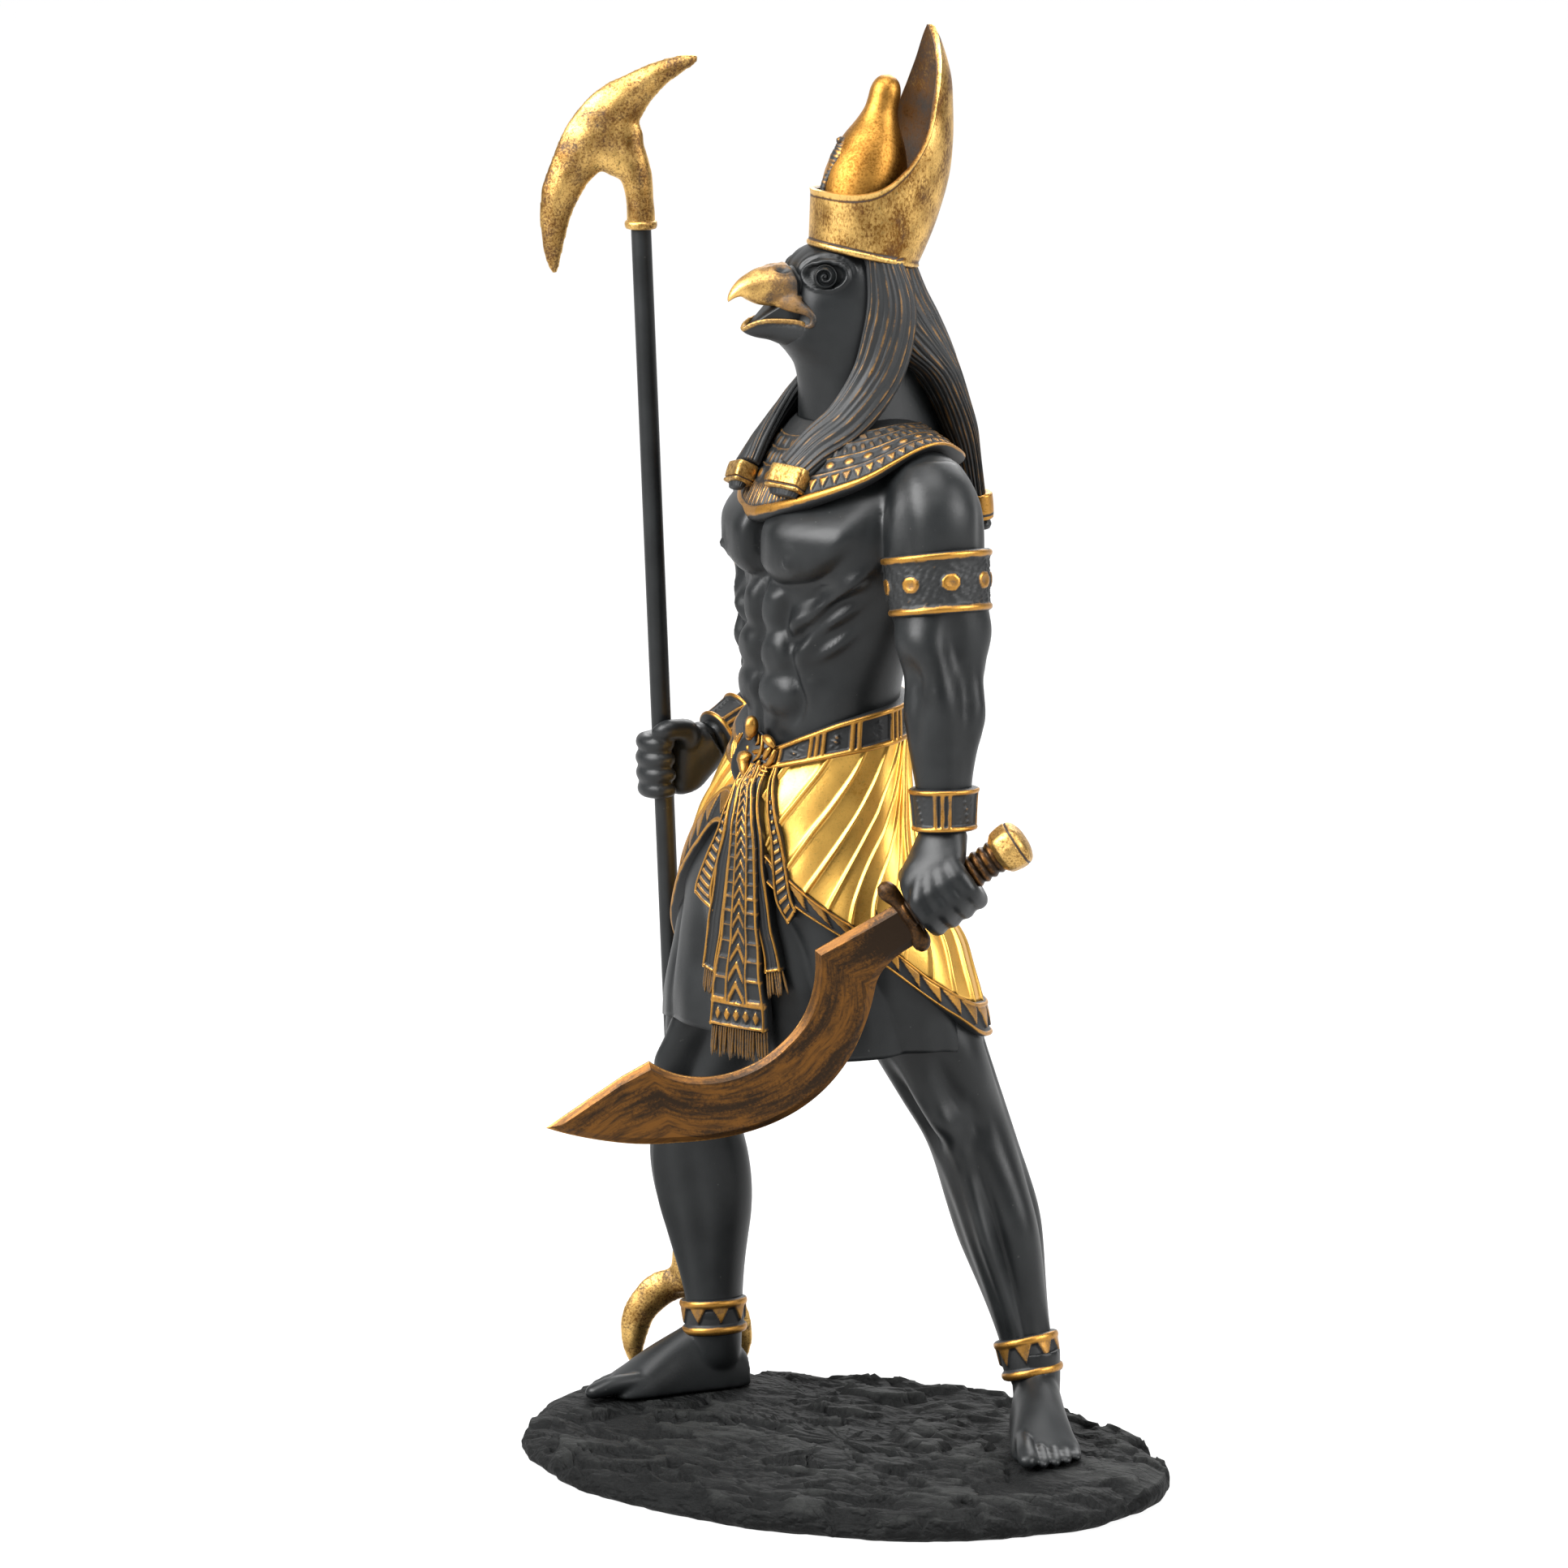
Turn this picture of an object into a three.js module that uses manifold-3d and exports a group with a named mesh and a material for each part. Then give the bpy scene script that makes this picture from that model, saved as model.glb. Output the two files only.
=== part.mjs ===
// Falcon-headed guardian figure with staff and sickle sword, standing on a rock base.
// Millimetres, +Z up, the viewer at -Y, the origin at the middle of the base's underside.
// The body is laid out for a height of 291.5 from soles to crown tip and scaled to figureHeight.
import * as THREE from "three";
import { mergeVertices } from "three/addons/utils/BufferGeometryUtils.js";
import Module from "manifold-3d";

// Driving sizes
const figureHeight = 291.5;
const baseLength = 142;
const baseWidth = 99;
const baseThickness = 6;
const rockRelief = 1.3;
const rodDiameter = 4.2;
const gripDiameter = 7;
const bladeThickness = 2.8;
const fitGap = 0.3;

const wasm = await Module();
wasm.setup();

const unit = figureHeight / 291.5;
const ground = baseThickness + fitGap;
const own = (realSize) => realSize / unit;

const at = (x, y, z) => new THREE.Vector3(x, y, z);
const clamp = THREE.MathUtils.clamp;
const radians = THREE.MathUtils.degToRad;
const bump = (x, width) => Math.exp(-((x / width) ** 2));
const up = at(0, 0, 1);
const evenly = (from, to, steps) =>
  Array.from({ length: steps + 1 }, (_, i) => from + ((to - from) * i) / steps);
const join = (pieces) => pieces.reduce((sum, piece) => sum.add(piece));

// A facing is an azimuth from the viewer's side: front points that way, left is the figure's left hand.
const frontOf = (azimuth) => at(Math.sin(radians(azimuth)), -Math.cos(radians(azimuth)), 0);
const leftOf = (azimuth) => at(Math.cos(radians(azimuth)), Math.sin(radians(azimuth)), 0);

// A value or a list of values, eased between stations written as [where, value, value, ...].
function along(stations) {
  return (where) => {
    const last = stations.length - 1;
    let i = 0;
    while (i < last - 1 && where > stations[i + 1][0]) i += 1;
    const [a, b] = [stations[i], stations[i + 1]];
    const before = stations[Math.max(i - 1, 0)];
    const after = stations[Math.min(i + 2, last)];
    const span = b[0] - a[0];
    const t = clamp((where - a[0]) / span, 0, 1);
    const values = a.slice(1).map((value, k) => {
      const slopeA = (b[k + 1] - before[k + 1]) / (b[0] - before[0]);
      const slopeB = (after[k + 1] - value) / (after[0] - a[0]);
      const startSlope = i === 0 ? (b[k + 1] - value) / span : slopeA;
      const endSlope = i === last - 1 ? (b[k + 1] - value) / span : slopeB;
      const h = t * t * (3 - 2 * t);
      const hump = t * (1 - t) * (1 - t);
      const sag = t * t * (t - 1);
      return value * (1 - h) + b[k + 1] * h + span * (startSlope * hump + endSlope * sag);
    });
    return values.length === 1 ? values[0] : values;
  };
}

// A solid from a closed geometry
function fromGeometry(geometry) {
  geometry.deleteAttribute("normal");
  geometry.deleteAttribute("uv");
  const merged = mergeVertices(geometry, 1e-4);
  const vertProperties = new Float32Array(merged.attributes.position.array);
  const triVerts = new Uint32Array(merged.index.array);
  return new wasm.Manifold(new wasm.Mesh({ numProp: 3, vertProperties, triVerts }));
}

// A solid from corner points and triangles, turned to face outwards by the sign of its volume
function solid(points, faces) {
  const tetrahedron = ([a, b, c]) => points[a].dot(points[b].clone().cross(points[c]));
  const sixVolumes = faces.reduce((sum, face) => sum + tetrahedron(face), 0);
  const outward = sixVolumes > 0 ? faces : faces.map(([a, b, c]) => [b, a, c]);
  const geometry = new THREE.BufferGeometry().setFromPoints(points);
  geometry.setIndex(outward.flat());
  return fromGeometry(geometry);
}

// A skin over rings of equal length, closed at both ends by a point in the middle of the end ring.
function skin(rings) {
  const sides = rings[0].length;
  const points = rings.flat();
  const middle = (ring) => ring.reduce((sum, p) => sum.add(p), at(0, 0, 0)).divideScalar(sides);
  const first = points.push(middle(rings[0])) - 1;
  const last = points.push(middle(rings[rings.length - 1])) - 1;
  const faces = [];
  for (let j = 0; j < sides; j += 1) {
    const next = (j + 1) % sides;
    for (let i = 0; i + 1 < rings.length; i += 1) {
      const [a, b] = [i * sides + j, i * sides + next];
      const [c, d] = [b + sides, a + sides];
      faces.push([a, b, c], [a, c, d]);
    }
    const top = (rings.length - 1) * sides;
    faces.push([next, j, first], [top + j, top + next, last]);
  }
  return solid(points, faces);
}

// An oval ring: across is the half width along side, out the half depth along front.
function oval(centre, side, front, across, out, sides, shape = () => 1) {
  return Array.from({ length: sides }, (_, j) => {
    const angle = (j / sides) * 2 * Math.PI;
    const reach = shape(angle > Math.PI ? angle - 2 * Math.PI : angle);
    const [a, b] = [Math.sin(angle) * across * reach, Math.cos(angle) * out * reach];
    return centre.clone().addScaledVector(side, a).addScaledVector(front, b);
  });
}

// A body in level rings. Stations hold height, x, y, facing, half width, front depth and back depth.
function levels(stations, sides, heights, shape = () => 1, bend = () => 0) {
  const read = along(stations);
  return skin(
    heights.map((z) => {
      const [x, y, facing, width, front, back] = read(z);
      const middle = at(x, y, z);
      const ahead = frontOf(facing);
      const ring = oval(middle, leftOf(facing), ahead, width, 1, sides, (angle) => shape(angle, z));
      return ring.map((p) => {
        const depth = p.clone().sub(middle).dot(ahead);
        const toRight = Math.max(-p.clone().sub(middle).dot(leftOf(facing)), 0);
        return p.addScaledVector(ahead, depth * ((depth > 0 ? front : back) - 1) - toRight * bend(z));
      });
    }),
  );
}

// A limb along a smooth line of points. Stations hold share of length, half width and half depth.
// A band is a ring worn on the limb: the share where its middle is, its height and its lift.
const bandBead = 0.7;
function limb(line, stations, sides, steps, facing, bands = []) {
  const curve = new THREE.CatmullRomCurve3(line, false, "centripetal");
  const length = curve.getLength();
  const read = along(stations);
  const worn = bands.map(([middle, height, lift]) => [middle, height / length / 2, lift]);
  const clear = (t) => worn.every(([middle, half]) => Math.abs(t - middle) > half * 1.3);
  const rows = evenly(0, 1, steps).filter(clear).map((t) => [t, 0]);
  worn.forEach(([middle, half, lift]) => {
    const edge = [[0.6, lift], [1, lift + bandBead], [1.02, 0]];
    edge.forEach(([share, rise]) => {
      rows.push([middle - share * half, rise], [middle + share * half, rise]);
    });
  });
  rows.sort((a, b) => a[0] - b[0]);
  return skin(
    rows.map(([t, rise]) => {
      const tangent = curve.getTangentAt(t);
      const side = tangent.clone().cross(facing.isVector3 ? facing : facing(t)).normalize();
      const front = side.clone().cross(tangent).normalize();
      const [width, depth] = read(t);
      return oval(curve.getPointAt(t), side, front, width + rise, depth + rise, sides);
    }),
  );
}

// Facings of the body, in degrees
const chestFacing = -28;
const hipFacing = -36;
const headFacing = -43;

// Joints, as x, y and height above the soles
const shoulderLeft = at(17.6, 5.4, 197);
const elbowLeft = at(23.2, 0.6, 160);
const wristLeft = at(24.6, -2.4, 131.5);
const shoulderRight = at(-30.2, 35.5, 195);
const elbowRight = at(-36.5, 52, 149);
const wristRight = at(-46.5, 34.5, 137.5);
const hipLeft = at(1.5, 15.5, 112);
const kneeLeft = at(18.6, 22.4, 63);
const ankleLeft = at(35.2, 21.5, 9);
const hipRight = at(-21, 24.5, 112);
const kneeRight = at(-44, 22.5, 60);
const ankleRight = at(-39.8, 22.2, 9);

// The right shoulder is drawn back by this share of the distance from the breastbone
const shoulderBack = 0.16;

// Trunk: hips, waist, ribs, chest and the slope of the shoulders
const trunkStations = [
  [140, -11.4, 18.2, hipFacing, 19.6, 14, 13],
  [152, -11.6, 17.9, hipFacing, 19.8, 14.2, 13],
  [160, -11.2, 18, -34, 20.4, 14.6, 13.6],
  [170, -10, 18.2, -31, 23, 16.2, 15.4],
  [180, -8.8, 18.4, -29, 26.6, 18.8, 17.4],
  [190, -8, 18.6, chestFacing, 28.6, 20, 18.4],
  [199, -8, 19, chestFacing, 28, 16.4, 17],
  [206, -8, 19.6, chestFacing, 20, 12, 13.4],
  [211, -8, 20, chestFacing, 12.4, 8.6, 10.5],
];
const rowsOfBelly = [174.5, 166.5, 158.5];
const trunkShape = (angle, z) => {
  const degrees = THREE.MathUtils.radToDeg(Math.abs(angle));
  const breast = 0.15 * bump(degrees - 33, 22) * bump(z - 186, 8);
  const underBreast = -0.05 * bump(degrees - 32, 26) * bump(z - 177, 2.6);
  const groove = -0.075 * bump(degrees, 7) * bump(z - 172, 22);
  const muscle = (sum, row) => sum + 0.05 * bump(degrees - 20, 10) * bump(z - row, 2.6);
  const belly = rowsOfBelly.reduce(muscle, 0);
  const spine = -0.1 * bump(degrees - 180, 12) * bump(z - 168, 24);
  const blade = 0.07 * bump(degrees - 145, 22) * bump(z - 190, 9);
  const flank = -0.03 * bump(degrees - 48, 9) * bump(z - 164, 14);
  return 1 + breast + underBreast + groove + belly + spine + blade + flank;
};
const trunkHeights = [143, 154.5, 158.5, 162.5, 166.5, 170.5, 174.5, 178, 184, 190, 197, 204];
const trunk = levels(
  trunkStations,
  18,
  trunkHeights,
  trunkShape,
  (z) => shoulderBack * THREE.MathUtils.smoothstep(z, 165, 185),
);

// Neck and falcon head in one, the throat running out under the beak
const headStations = [
  [202, -8, 19.5, headFacing, 14, 9, 21],
  [210, -8, 18, headFacing, 12, 8.8, 20.5],
  [219, -8, 17.2, headFacing, 10.6, 8.8, 17.5],
  [222.5, -8, 17.2, headFacing, 10.4, 9.6, 14.5],
  [225, -8, 17.2, headFacing, 10.5, 11.4, 14],
  [228, -8, 17.2, headFacing, 10.6, 14.4, 13.4],
  [230, -8, 17.2, headFacing, 10.8, 13.6, 13],
  [233, -8, 17.2, headFacing, 11, 11.8, 13],
  [240, -8, 17.2, headFacing, 10.8, 11.4, 13],
  [244, -7.8, 17.4, headFacing, 9.6, 10.8, 12],
  [248, -6.4, 18.4, headFacing, 6.4, 7, 10],
];
const headShape = (angle, z) => {
  const degrees = THREE.MathUtils.radToDeg(Math.abs(angle));
  const brow = 0.06 * bump(degrees - 42, 20) * bump(z - 244.5, 2);
  const socket = -0.06 * bump(degrees - 52, 16) * bump(z - 240.5, 2.4);
  const cheek = 0.1 * bump(degrees - 34, 22) * bump(z - 233, 7);
  return 1 + brow + socket + cheek;
};
const headHeights = [204, 213, 220, 224, 228, 230.5, 234, 238, 241, 244, 247.5];
const head = levels(headStations, 14, headHeights, headShape);

// Beak: both halves follow the head's facing from the face forward, given as forward and height
const headAhead = frontOf(headFacing);
const headLeft = leftOf(headFacing);
const headCentre = at(-8, 17.2, 0);
const onHead = (forward, side, z) =>
  headCentre.clone().addScaledVector(headAhead, forward).addScaledVector(headLeft, side).setZ(z);
const beakLine = [[6, 239.6], [12, 239.6], [16.6, 239.5], [20, 239.2], [22.8, 238.2], [24.9, 236]];
const beakUpper = limb(
  beakLine.map(([forward, z]) => onHead(forward, 0, z)),
  [
    [0, 6.4, 4.6],
    [0.3, 5.4, 4.8],
    [0.55, 4, 4.4],
    [0.75, 2.7, 2.9],
    [0.9, 1.3, 1.6],
    [1, 0.3, 0.3],
  ],
  8,
  7,
  up,
);
const jawLine = [[7, 229.9], [13, 229.8], [18, 230], [22.2, 230.6]];
const beakLower = limb(
  jawLine.map(([forward, z]) => onHead(forward, 0, z)),
  [
    [0, 5.6, 2],
    [0.4, 4.8, 1.9],
    [0.8, 2.6, 1],
    [1, 0.3, 0.3],
  ],
  6,
  3,
  up,
);

// Eyes: a round ball in almond lids on each side, below the brow
const eyes = [1, -1].map((hand) => {
  const outward = headLeft.clone().multiplyScalar(hand).addScaledVector(headAhead, 0.55).normalize();
  const onward = outward.clone().cross(up).normalize();
  const centre = onHead(5.4, 9.6 * hand, 239.8);
  const rows = [[-2, 4.8, 2.6], [0.9, 4.2, 2], [0.3, 2.6, 1.7], [1.6, 1.3, 1.2]];
  return skin(
    rows.map(([out, long, tall]) =>
      oval(centre.clone().addScaledVector(outward, out), onward, up, long, tall, 8),
    ),
  );
});

// Wig: a grooved mass down the back, and two lappets that fall over the collar to square caps
const lockGrooves = 9;
const wigStations = [
  [189, 14.3, 36, headFacing, 3.4, 2.4, 1.6],
  [197, 13.2, 35.1, headFacing, 4.4, 3, 1.8],
  [204, 11.8, 33.9, headFacing, 6.6, 3.6, 2.4],
  [209, 10.4, 32.8, headFacing, 8.4, 4.4, 3.4],
  [215, 8, 31.4, headFacing, 10.2, 4.6, 4.4],
  [221, 5.4, 29.6, headFacing, 11.4, 5, 5.8],
  [226, 2, 27, headFacing, 12.2, 6, 8.6],
  [232, -2, 23.6, headFacing, 12.8, 7, 11.4],
  [238, -4.4, 21, headFacing, 12.6, 6.4, 11.8],
  [246, -4.8, 20.6, headFacing, 11.4, 8, 9.6],
];
const strands = (count, depth) => (angle) => 1 + depth * Math.cos(angle * count);
const wigHeights = [189, 199, 207, 214, 221, 228, 237, 246];
const wig = levels(wigStations, lockGrooves * 2, wigHeights, strands(lockGrooves, 0.04));

const chestAhead = frontOf(chestFacing);
const chestLeft = leftOf(chestFacing);
const chestCentre = at(-8, 19, 0);
const onChest = (forward, side, z) =>
  chestCentre
    .clone()
    .addScaledVector(chestAhead, forward - Math.max(-side, 0) * shoulderBack)
    .addScaledVector(chestLeft, side > 0 ? side : side * 0.94)
    .setZ(z);
const lappetWidth = 3.5;
const lappetDepth = 1.7;
const lappets = [1, -1].map((hand) => {
  const line = [
    onHead(-4.5, 10.4 * hand, 243),
    onHead(-6.4, 11.4 * hand, 231),
    onHead(-3.6, 12 * hand, 221.5),
    onChest(8, 12.6 * hand, 213),
    onChest(15.4, 10.2 * hand, 207),
    onChest(22, 6.8 * hand, 198),
  ];
  const size = [
    [0, lappetWidth, lappetDepth],
    [0.25, lappetWidth * 1.5, lappetDepth * 1.3],
    [0.6, lappetWidth * 1.2, lappetDepth * 1.15],
    [1, lappetWidth, lappetDepth],
  ];
  const sideways = headLeft.clone().multiplyScalar(hand);
  const onward = chestAhead.clone().addScaledVector(up, 0.9).addScaledVector(chestLeft, 0.35 * hand);
  const facing = (t) => sideways.clone().lerp(onward.clone().normalize(), t ** 1.5).normalize();
  return limb(line, size, 6, 7, facing, [[0.94, 4.4, 0.1]]);
});

// Collar: a broad ring laid over chest, shoulders and back, its edge a raised bead
const collarStations = [
  [0, 11, 9, 10],
  [0.45, 20, 15, 15],
  [0.86, 26.6, 20.4, 19.4],
  [1, 28.2, 21.9, 20.4],
];
// Height of its outer edge by degrees from the breastbone: minus is the figure's right side
const collarHeights = along([
  [-180, 197],
  [-130, 203],
  [-90, 206],
  [-50, 195],
  [-20, 190.8],
  [0, 191.4],
  [50, 199.6],
  [90, 207.4],
  [130, 203],
  [180, 197],
]);
const collarTop = 211.5;
const collarSides = 18;
const collarRows = [
  [0.05, 0],
  [0.5, 1.2],
  [0.88, 1.1],
  [0.93, 2],
  [1, 1.5],
];
const collarPoint = (angle, share, lift) => {
  const [across, front, back] = along(collarStations)(Math.min(share, 1));
  const spread = Math.max(share, 1);
  const drop = collarTop - collarHeights(THREE.MathUtils.radToDeg(angle));
  const z = collarTop - drop * share ** 1.35 + lift * 0.75;
  const out = Math.cos(angle) > 0 ? front : back;
  const grow = spread + (lift * 0.6) / 22;
  return onChest(Math.cos(angle) * out * grow, Math.sin(angle) * across * grow, z);
};
const collarRing = (share, lift) =>
  Array.from({ length: collarSides }, (_, j) => {
    const angle = (j / collarSides) * 2 * Math.PI;
    return collarPoint(angle > Math.PI ? angle - 2 * Math.PI : angle, share, lift);
  });
const collar = skin([...collarRows.map(([share, lift]) => collarRing(share, lift)), collarRing(0.9, -4)]);

// Double crown: a drum whose wall climbs behind into a curved spike, round the tall bulb
const crownTilt = 13.5;
const crownFoot = at(-4.5, 19.3, 244.2);
const crownUp = up.clone().multiplyScalar(Math.cos(radians(crownTilt)));
crownUp.addScaledVector(headAhead, -Math.sin(radians(crownTilt)));
const crownAhead = headAhead.clone().multiplyScalar(Math.cos(radians(crownTilt)));
crownAhead.addScaledVector(up, Math.sin(radians(crownTilt)));
const onCrown = (forward, side, rise) =>
  crownFoot.clone().addScaledVector(crownAhead, forward).addScaledVector(headLeft, side)
    .addScaledVector(crownUp, rise);
const drumRadius = 11.2;
const drumFlare = 0.2;
const crownWall = 1.4;
// How high the rim stands, by degrees from the front
const rimRise = along([
  [0, 11.3],
  [45, 11.9],
  [70, 13.8],
  [86, 17.3],
  [97, 22.2],
  [103, 27.5],
  [109, 34],
  [115, 40],
  [132, 46.5],
  [155, 49],
  [180, 49.3],
]);
// The wall behind, by height: how far back it stands, the middle of its curve and its half width
const wallAt = along([
  [0, drumRadius, 0, drumRadius],
  [5, 12.4, 0, 11.7],
  [11, 13.4, 0, 12.2],
  [20, 13.9, 0.3, 12.5],
  [27.5, 12.9, 1.5, 11.8],
  [34, 11.5, 1.4, 10],
  [40, 9.7, 1.4, 8.3],
  [46.5, 6.2, 0.4, 5],
  [49.3, 4, -0.5, 1.6],
]);
const crownSides = 18;
const crownPoint = (angle, rise, wall) => {
  const [back, middle, wide] = wallAt(rise);
  const behind = Math.abs(angle) > Math.PI / 2;
  const depth = behind ? back - middle : drumRadius + drumFlare * rise;
  const forward = Math.cos(angle) * (depth - wall) - (behind ? middle : 0);
  return onCrown(forward, Math.sin(angle) * (wide - Math.min(wall, wide * 0.7)), rise);
};
const crownRing = (share, wall, level) =>
  Array.from({ length: crownSides }, (_, j) => {
    const turn = (j / crownSides) * 2 * Math.PI;
    const angle = turn > Math.PI ? turn - 2 * Math.PI : turn;
    const top = rimRise(THREE.MathUtils.radToDeg(Math.abs(angle)));
    return crownPoint(angle, level ?? top * share, wall);
  });
const drum = skin([
  crownRing(0, -0.4, 0),
  crownRing(0, -0.4, 1),
  crownRing(0, 0, 1.2),
  crownRing(0.5, 0),
  crownRing(0.8, 0),
  crownRing(1, 0),
  crownRing(0.99, crownWall),
  crownRing(0.7, crownWall),
  crownRing(0, crownWall, 5.4),
]);
const bulbForward = 2.9;
const bulbProfile = [
  [6, 8.5],
  [15, 8.6],
  [19.5, 7.8],
  [23.5, 6.4],
  [27, 4.5],
  [30, 3.4],
  [33.5, 3.3],
  [36.3, 2.2],
  [37.4, 0.6],
];
const bulb = skin(
  bulbProfile.map(([rise, radius]) =>
    oval(onCrown(bulbForward, 0, rise), headLeft, crownAhead, radius, radius, 9),
  ),
);
const cobraLine = [[11.4, 9], [11.8, 13], [10.6, 18], [10.8, 21.5], [9.8, 24]];
const cobra = limb(
  cobraLine.map(([forward, rise]) => onCrown(forward, 0, rise)),
  [
    [0, 0.9, 0.9],
    [0.4, 1.8, 1],
    [0.75, 1.3, 1],
    [0.9, 1.5, 1.2],
    [1, 0.7, 0.7],
  ],
  6,
  5,
  crownAhead,
);

// Arms
const limbSides = 8;
const limbSteps = 7;
const armLeft = limb(
  [at(15.5, 7.5, 203), shoulderLeft, at(20.6, 3, 180), elbowLeft, at(23.6, -1, 148), wristLeft],
  [
    [0, 7, 7],
    [0.12, 9.6, 9.8],
    [0.3, 9, 9.6],
    [0.42, 8.2, 8.8],
    [0.58, 6.9, 7.2],
    [0.7, 7.1, 7.6],
    [0.9, 5.4, 5.6],
    [1, 4.7, 5.2],
  ],
  limbSides,
  limbSteps,
  chestAhead,
  [
    [0.315, 11.5, 0.5],
    [0.94, 8.4, 0.9],
  ],
);
const armRight = limb(
  [at(-27.5, 32.5, 200), shoulderRight, at(-34, 44.5, 173), elbowRight, at(-42, 43.5, 142), wristRight],
  [
    [0, 7, 7],
    [0.12, 9.6, 9.8],
    [0.3, 8.8, 9.4],
    [0.45, 8, 8.4],
    [0.6, 6.2, 6.4],
    [0.72, 6, 6.2],
    [0.9, 4.4, 4.6],
    [1, 3.9, 4.1],
  ],
  limbSides,
  limbSteps,
  chestAhead,
  [
    [0.33, 11.5, 0.5],
    [0.93, 8.4, 0.9],
  ],
);

// Staff: a leaning rod through the right fist, and the line that everything on it follows
const staffFoot = at(-49.7, 28.8, 0);
const staffLean = at(-8.2, -4, 247).normalize();
const onStaff = (rise) => staffFoot.clone().addScaledVector(staffLean, rise / staffLean.z);
const viewRight = leftOf(26);
const viewAway = frontOf(206);
const rodRadius = own(rodDiameter / 2);
const gap = own(fitGap);
const forkTop = 27.5;
const fistRise = 133;
const headRise = 246.6;

// Sword: grip line through the left fist
const gripRadius = own(gripDiameter / 2);
const gripRise = radians(33.7);
const gripLine = viewRight.clone().multiplyScalar(Math.cos(gripRise)).addScaledVector(up, Math.sin(gripRise));
const gripCentre = at(24.2, -5, 118.6);
const onGrip = (slide) => gripCentre.clone().addScaledVector(gripLine, slide);
const fistSlide = 1.6;

// A closed hand round a bar: four curled fingers, a palm that the wrist runs into, and a thumb
const fingerWidth = 3.4;
const fingerThick = 3;
const fingerCurl = [1.1, 1.15, 1.05, 1.1, 1, 0.75];
function fist({ centre, bar, out, radius, turn, wrist, palmAt, thumb }) {
  const over = bar.clone().cross(out).normalize();
  const round = (angle, reach, slide) =>
    centre
      .clone()
      .addScaledVector(out, Math.cos(angle) * reach)
      .addScaledVector(over, Math.sin(angle) * reach)
      .addScaledVector(bar, slide);
  const reach = radius + gap;
  const knuckles = evenly(-2, 2, 8).map((slide, k) => {
    const dip = Math.abs(slide) === 2 ? 0.3 : 0.55;
    return [slide * fingerWidth, k % 2 ? 1 : dip];
  });
  const fingers = skin(
    fingerCurl.map((share, step) => {
      const angle = radians(turn[0] + ((turn[1] - turn[0]) * step) / (fingerCurl.length - 1));
      const thick = fingerThick * share;
      return [
        ...knuckles.map(([slide, rise]) => round(angle, reach + thick * rise, slide)),
        round(angle, reach - 0.6, 1.7 * fingerWidth),
        round(angle, reach - 0.6, -1.7 * fingerWidth),
      ];
    }),
  );
  const heel = round(radians(palmAt), reach + 2, 0);
  const palm = limb(
    [wrist, wrist.clone().lerp(heel, 0.5), heel, round(radians(turn[0] + 10), reach + 0.8, 0)],
    [
      [0, 4.3, 4.8],
      [0.4, 5, 6.4],
      [0.8, 4, 7.3],
      [1, 2.4, 6.8],
    ],
    8,
    4,
    bar,
  );
  const thumbLine = thumb.map(([angle, far, slide]) => round(radians(angle), far, slide));
  const thumbSize = [
    [0, 2.4, 2.4],
    [0.6, 2.1, 2.1],
    [1, 1.3, 1.3],
  ];
  return join([fingers, palm, limb(thumbLine, thumbSize, 6, 3, bar)]);
}
const fistLeft = fist({
  centre: onGrip(fistSlide),
  bar: gripLine,
  out: viewAway.clone().negate(),
  radius: gripRadius,
  turn: [25, 235],
  wrist: wristLeft,
  palmAt: -35,
  thumb: [[-80, 6.2, -2.4], [-120, 6.2, -4.4], [-165, 6, -4.6], [-205, 5.8, -4.4]],
});
const fistRight = fist({
  centre: onStaff(fistRise),
  bar: staffLean,
  out: viewAway,
  radius: rodRadius,
  turn: [10, 215],
  wrist: wristRight,
  palmAt: -50,
  thumb: [[-75, 5.6, 5.5], [-120, 5.4, 7.6], [-165, 4.8, 7.8], [-205, 4.6, 7.2]],
});

// Legs and feet
const legLeft = limb(
  [hipLeft, at(8.6, 17.8, 90), kneeLeft, at(26.5, 24, 38), ankleLeft, at(35.4, 21.4, 5)],
  [
    [0, 14, 14],
    [0.2, 12.6, 13.4],
    [0.36, 10.4, 10.6],
    [0.46, 8.8, 9.2],
    [0.58, 8.6, 9.4],
    [0.68, 8.2, 9.4],
    [0.85, 5.6, 6.2],
    [0.95, 4.9, 5.6],
    [1, 5, 6],
  ],
  limbSides,
  limbSteps,
  frontOf(20),
  [[0.9, 8.4, 0.7]],
);
const legRight = limb(
  [hipRight, at(-33, 23.5, 88), kneeRight, at(-42.4, 24.2, 36), ankleRight, at(-39.6, 22.2, 5)],
  [
    [0, 14, 14],
    [0.2, 12.6, 13],
    [0.38, 10.2, 10.6],
    [0.48, 8.6, 9],
    [0.6, 8.8, 9.6],
    [0.7, 8.4, 9],
    [0.86, 5.5, 6.2],
    [0.95, 5, 5.6],
    [1, 5.2, 6],
  ],
  limbSides,
  limbSteps,
  frontOf(-45),
  [[0.905, 7.4, 0.5]],
);
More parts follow.
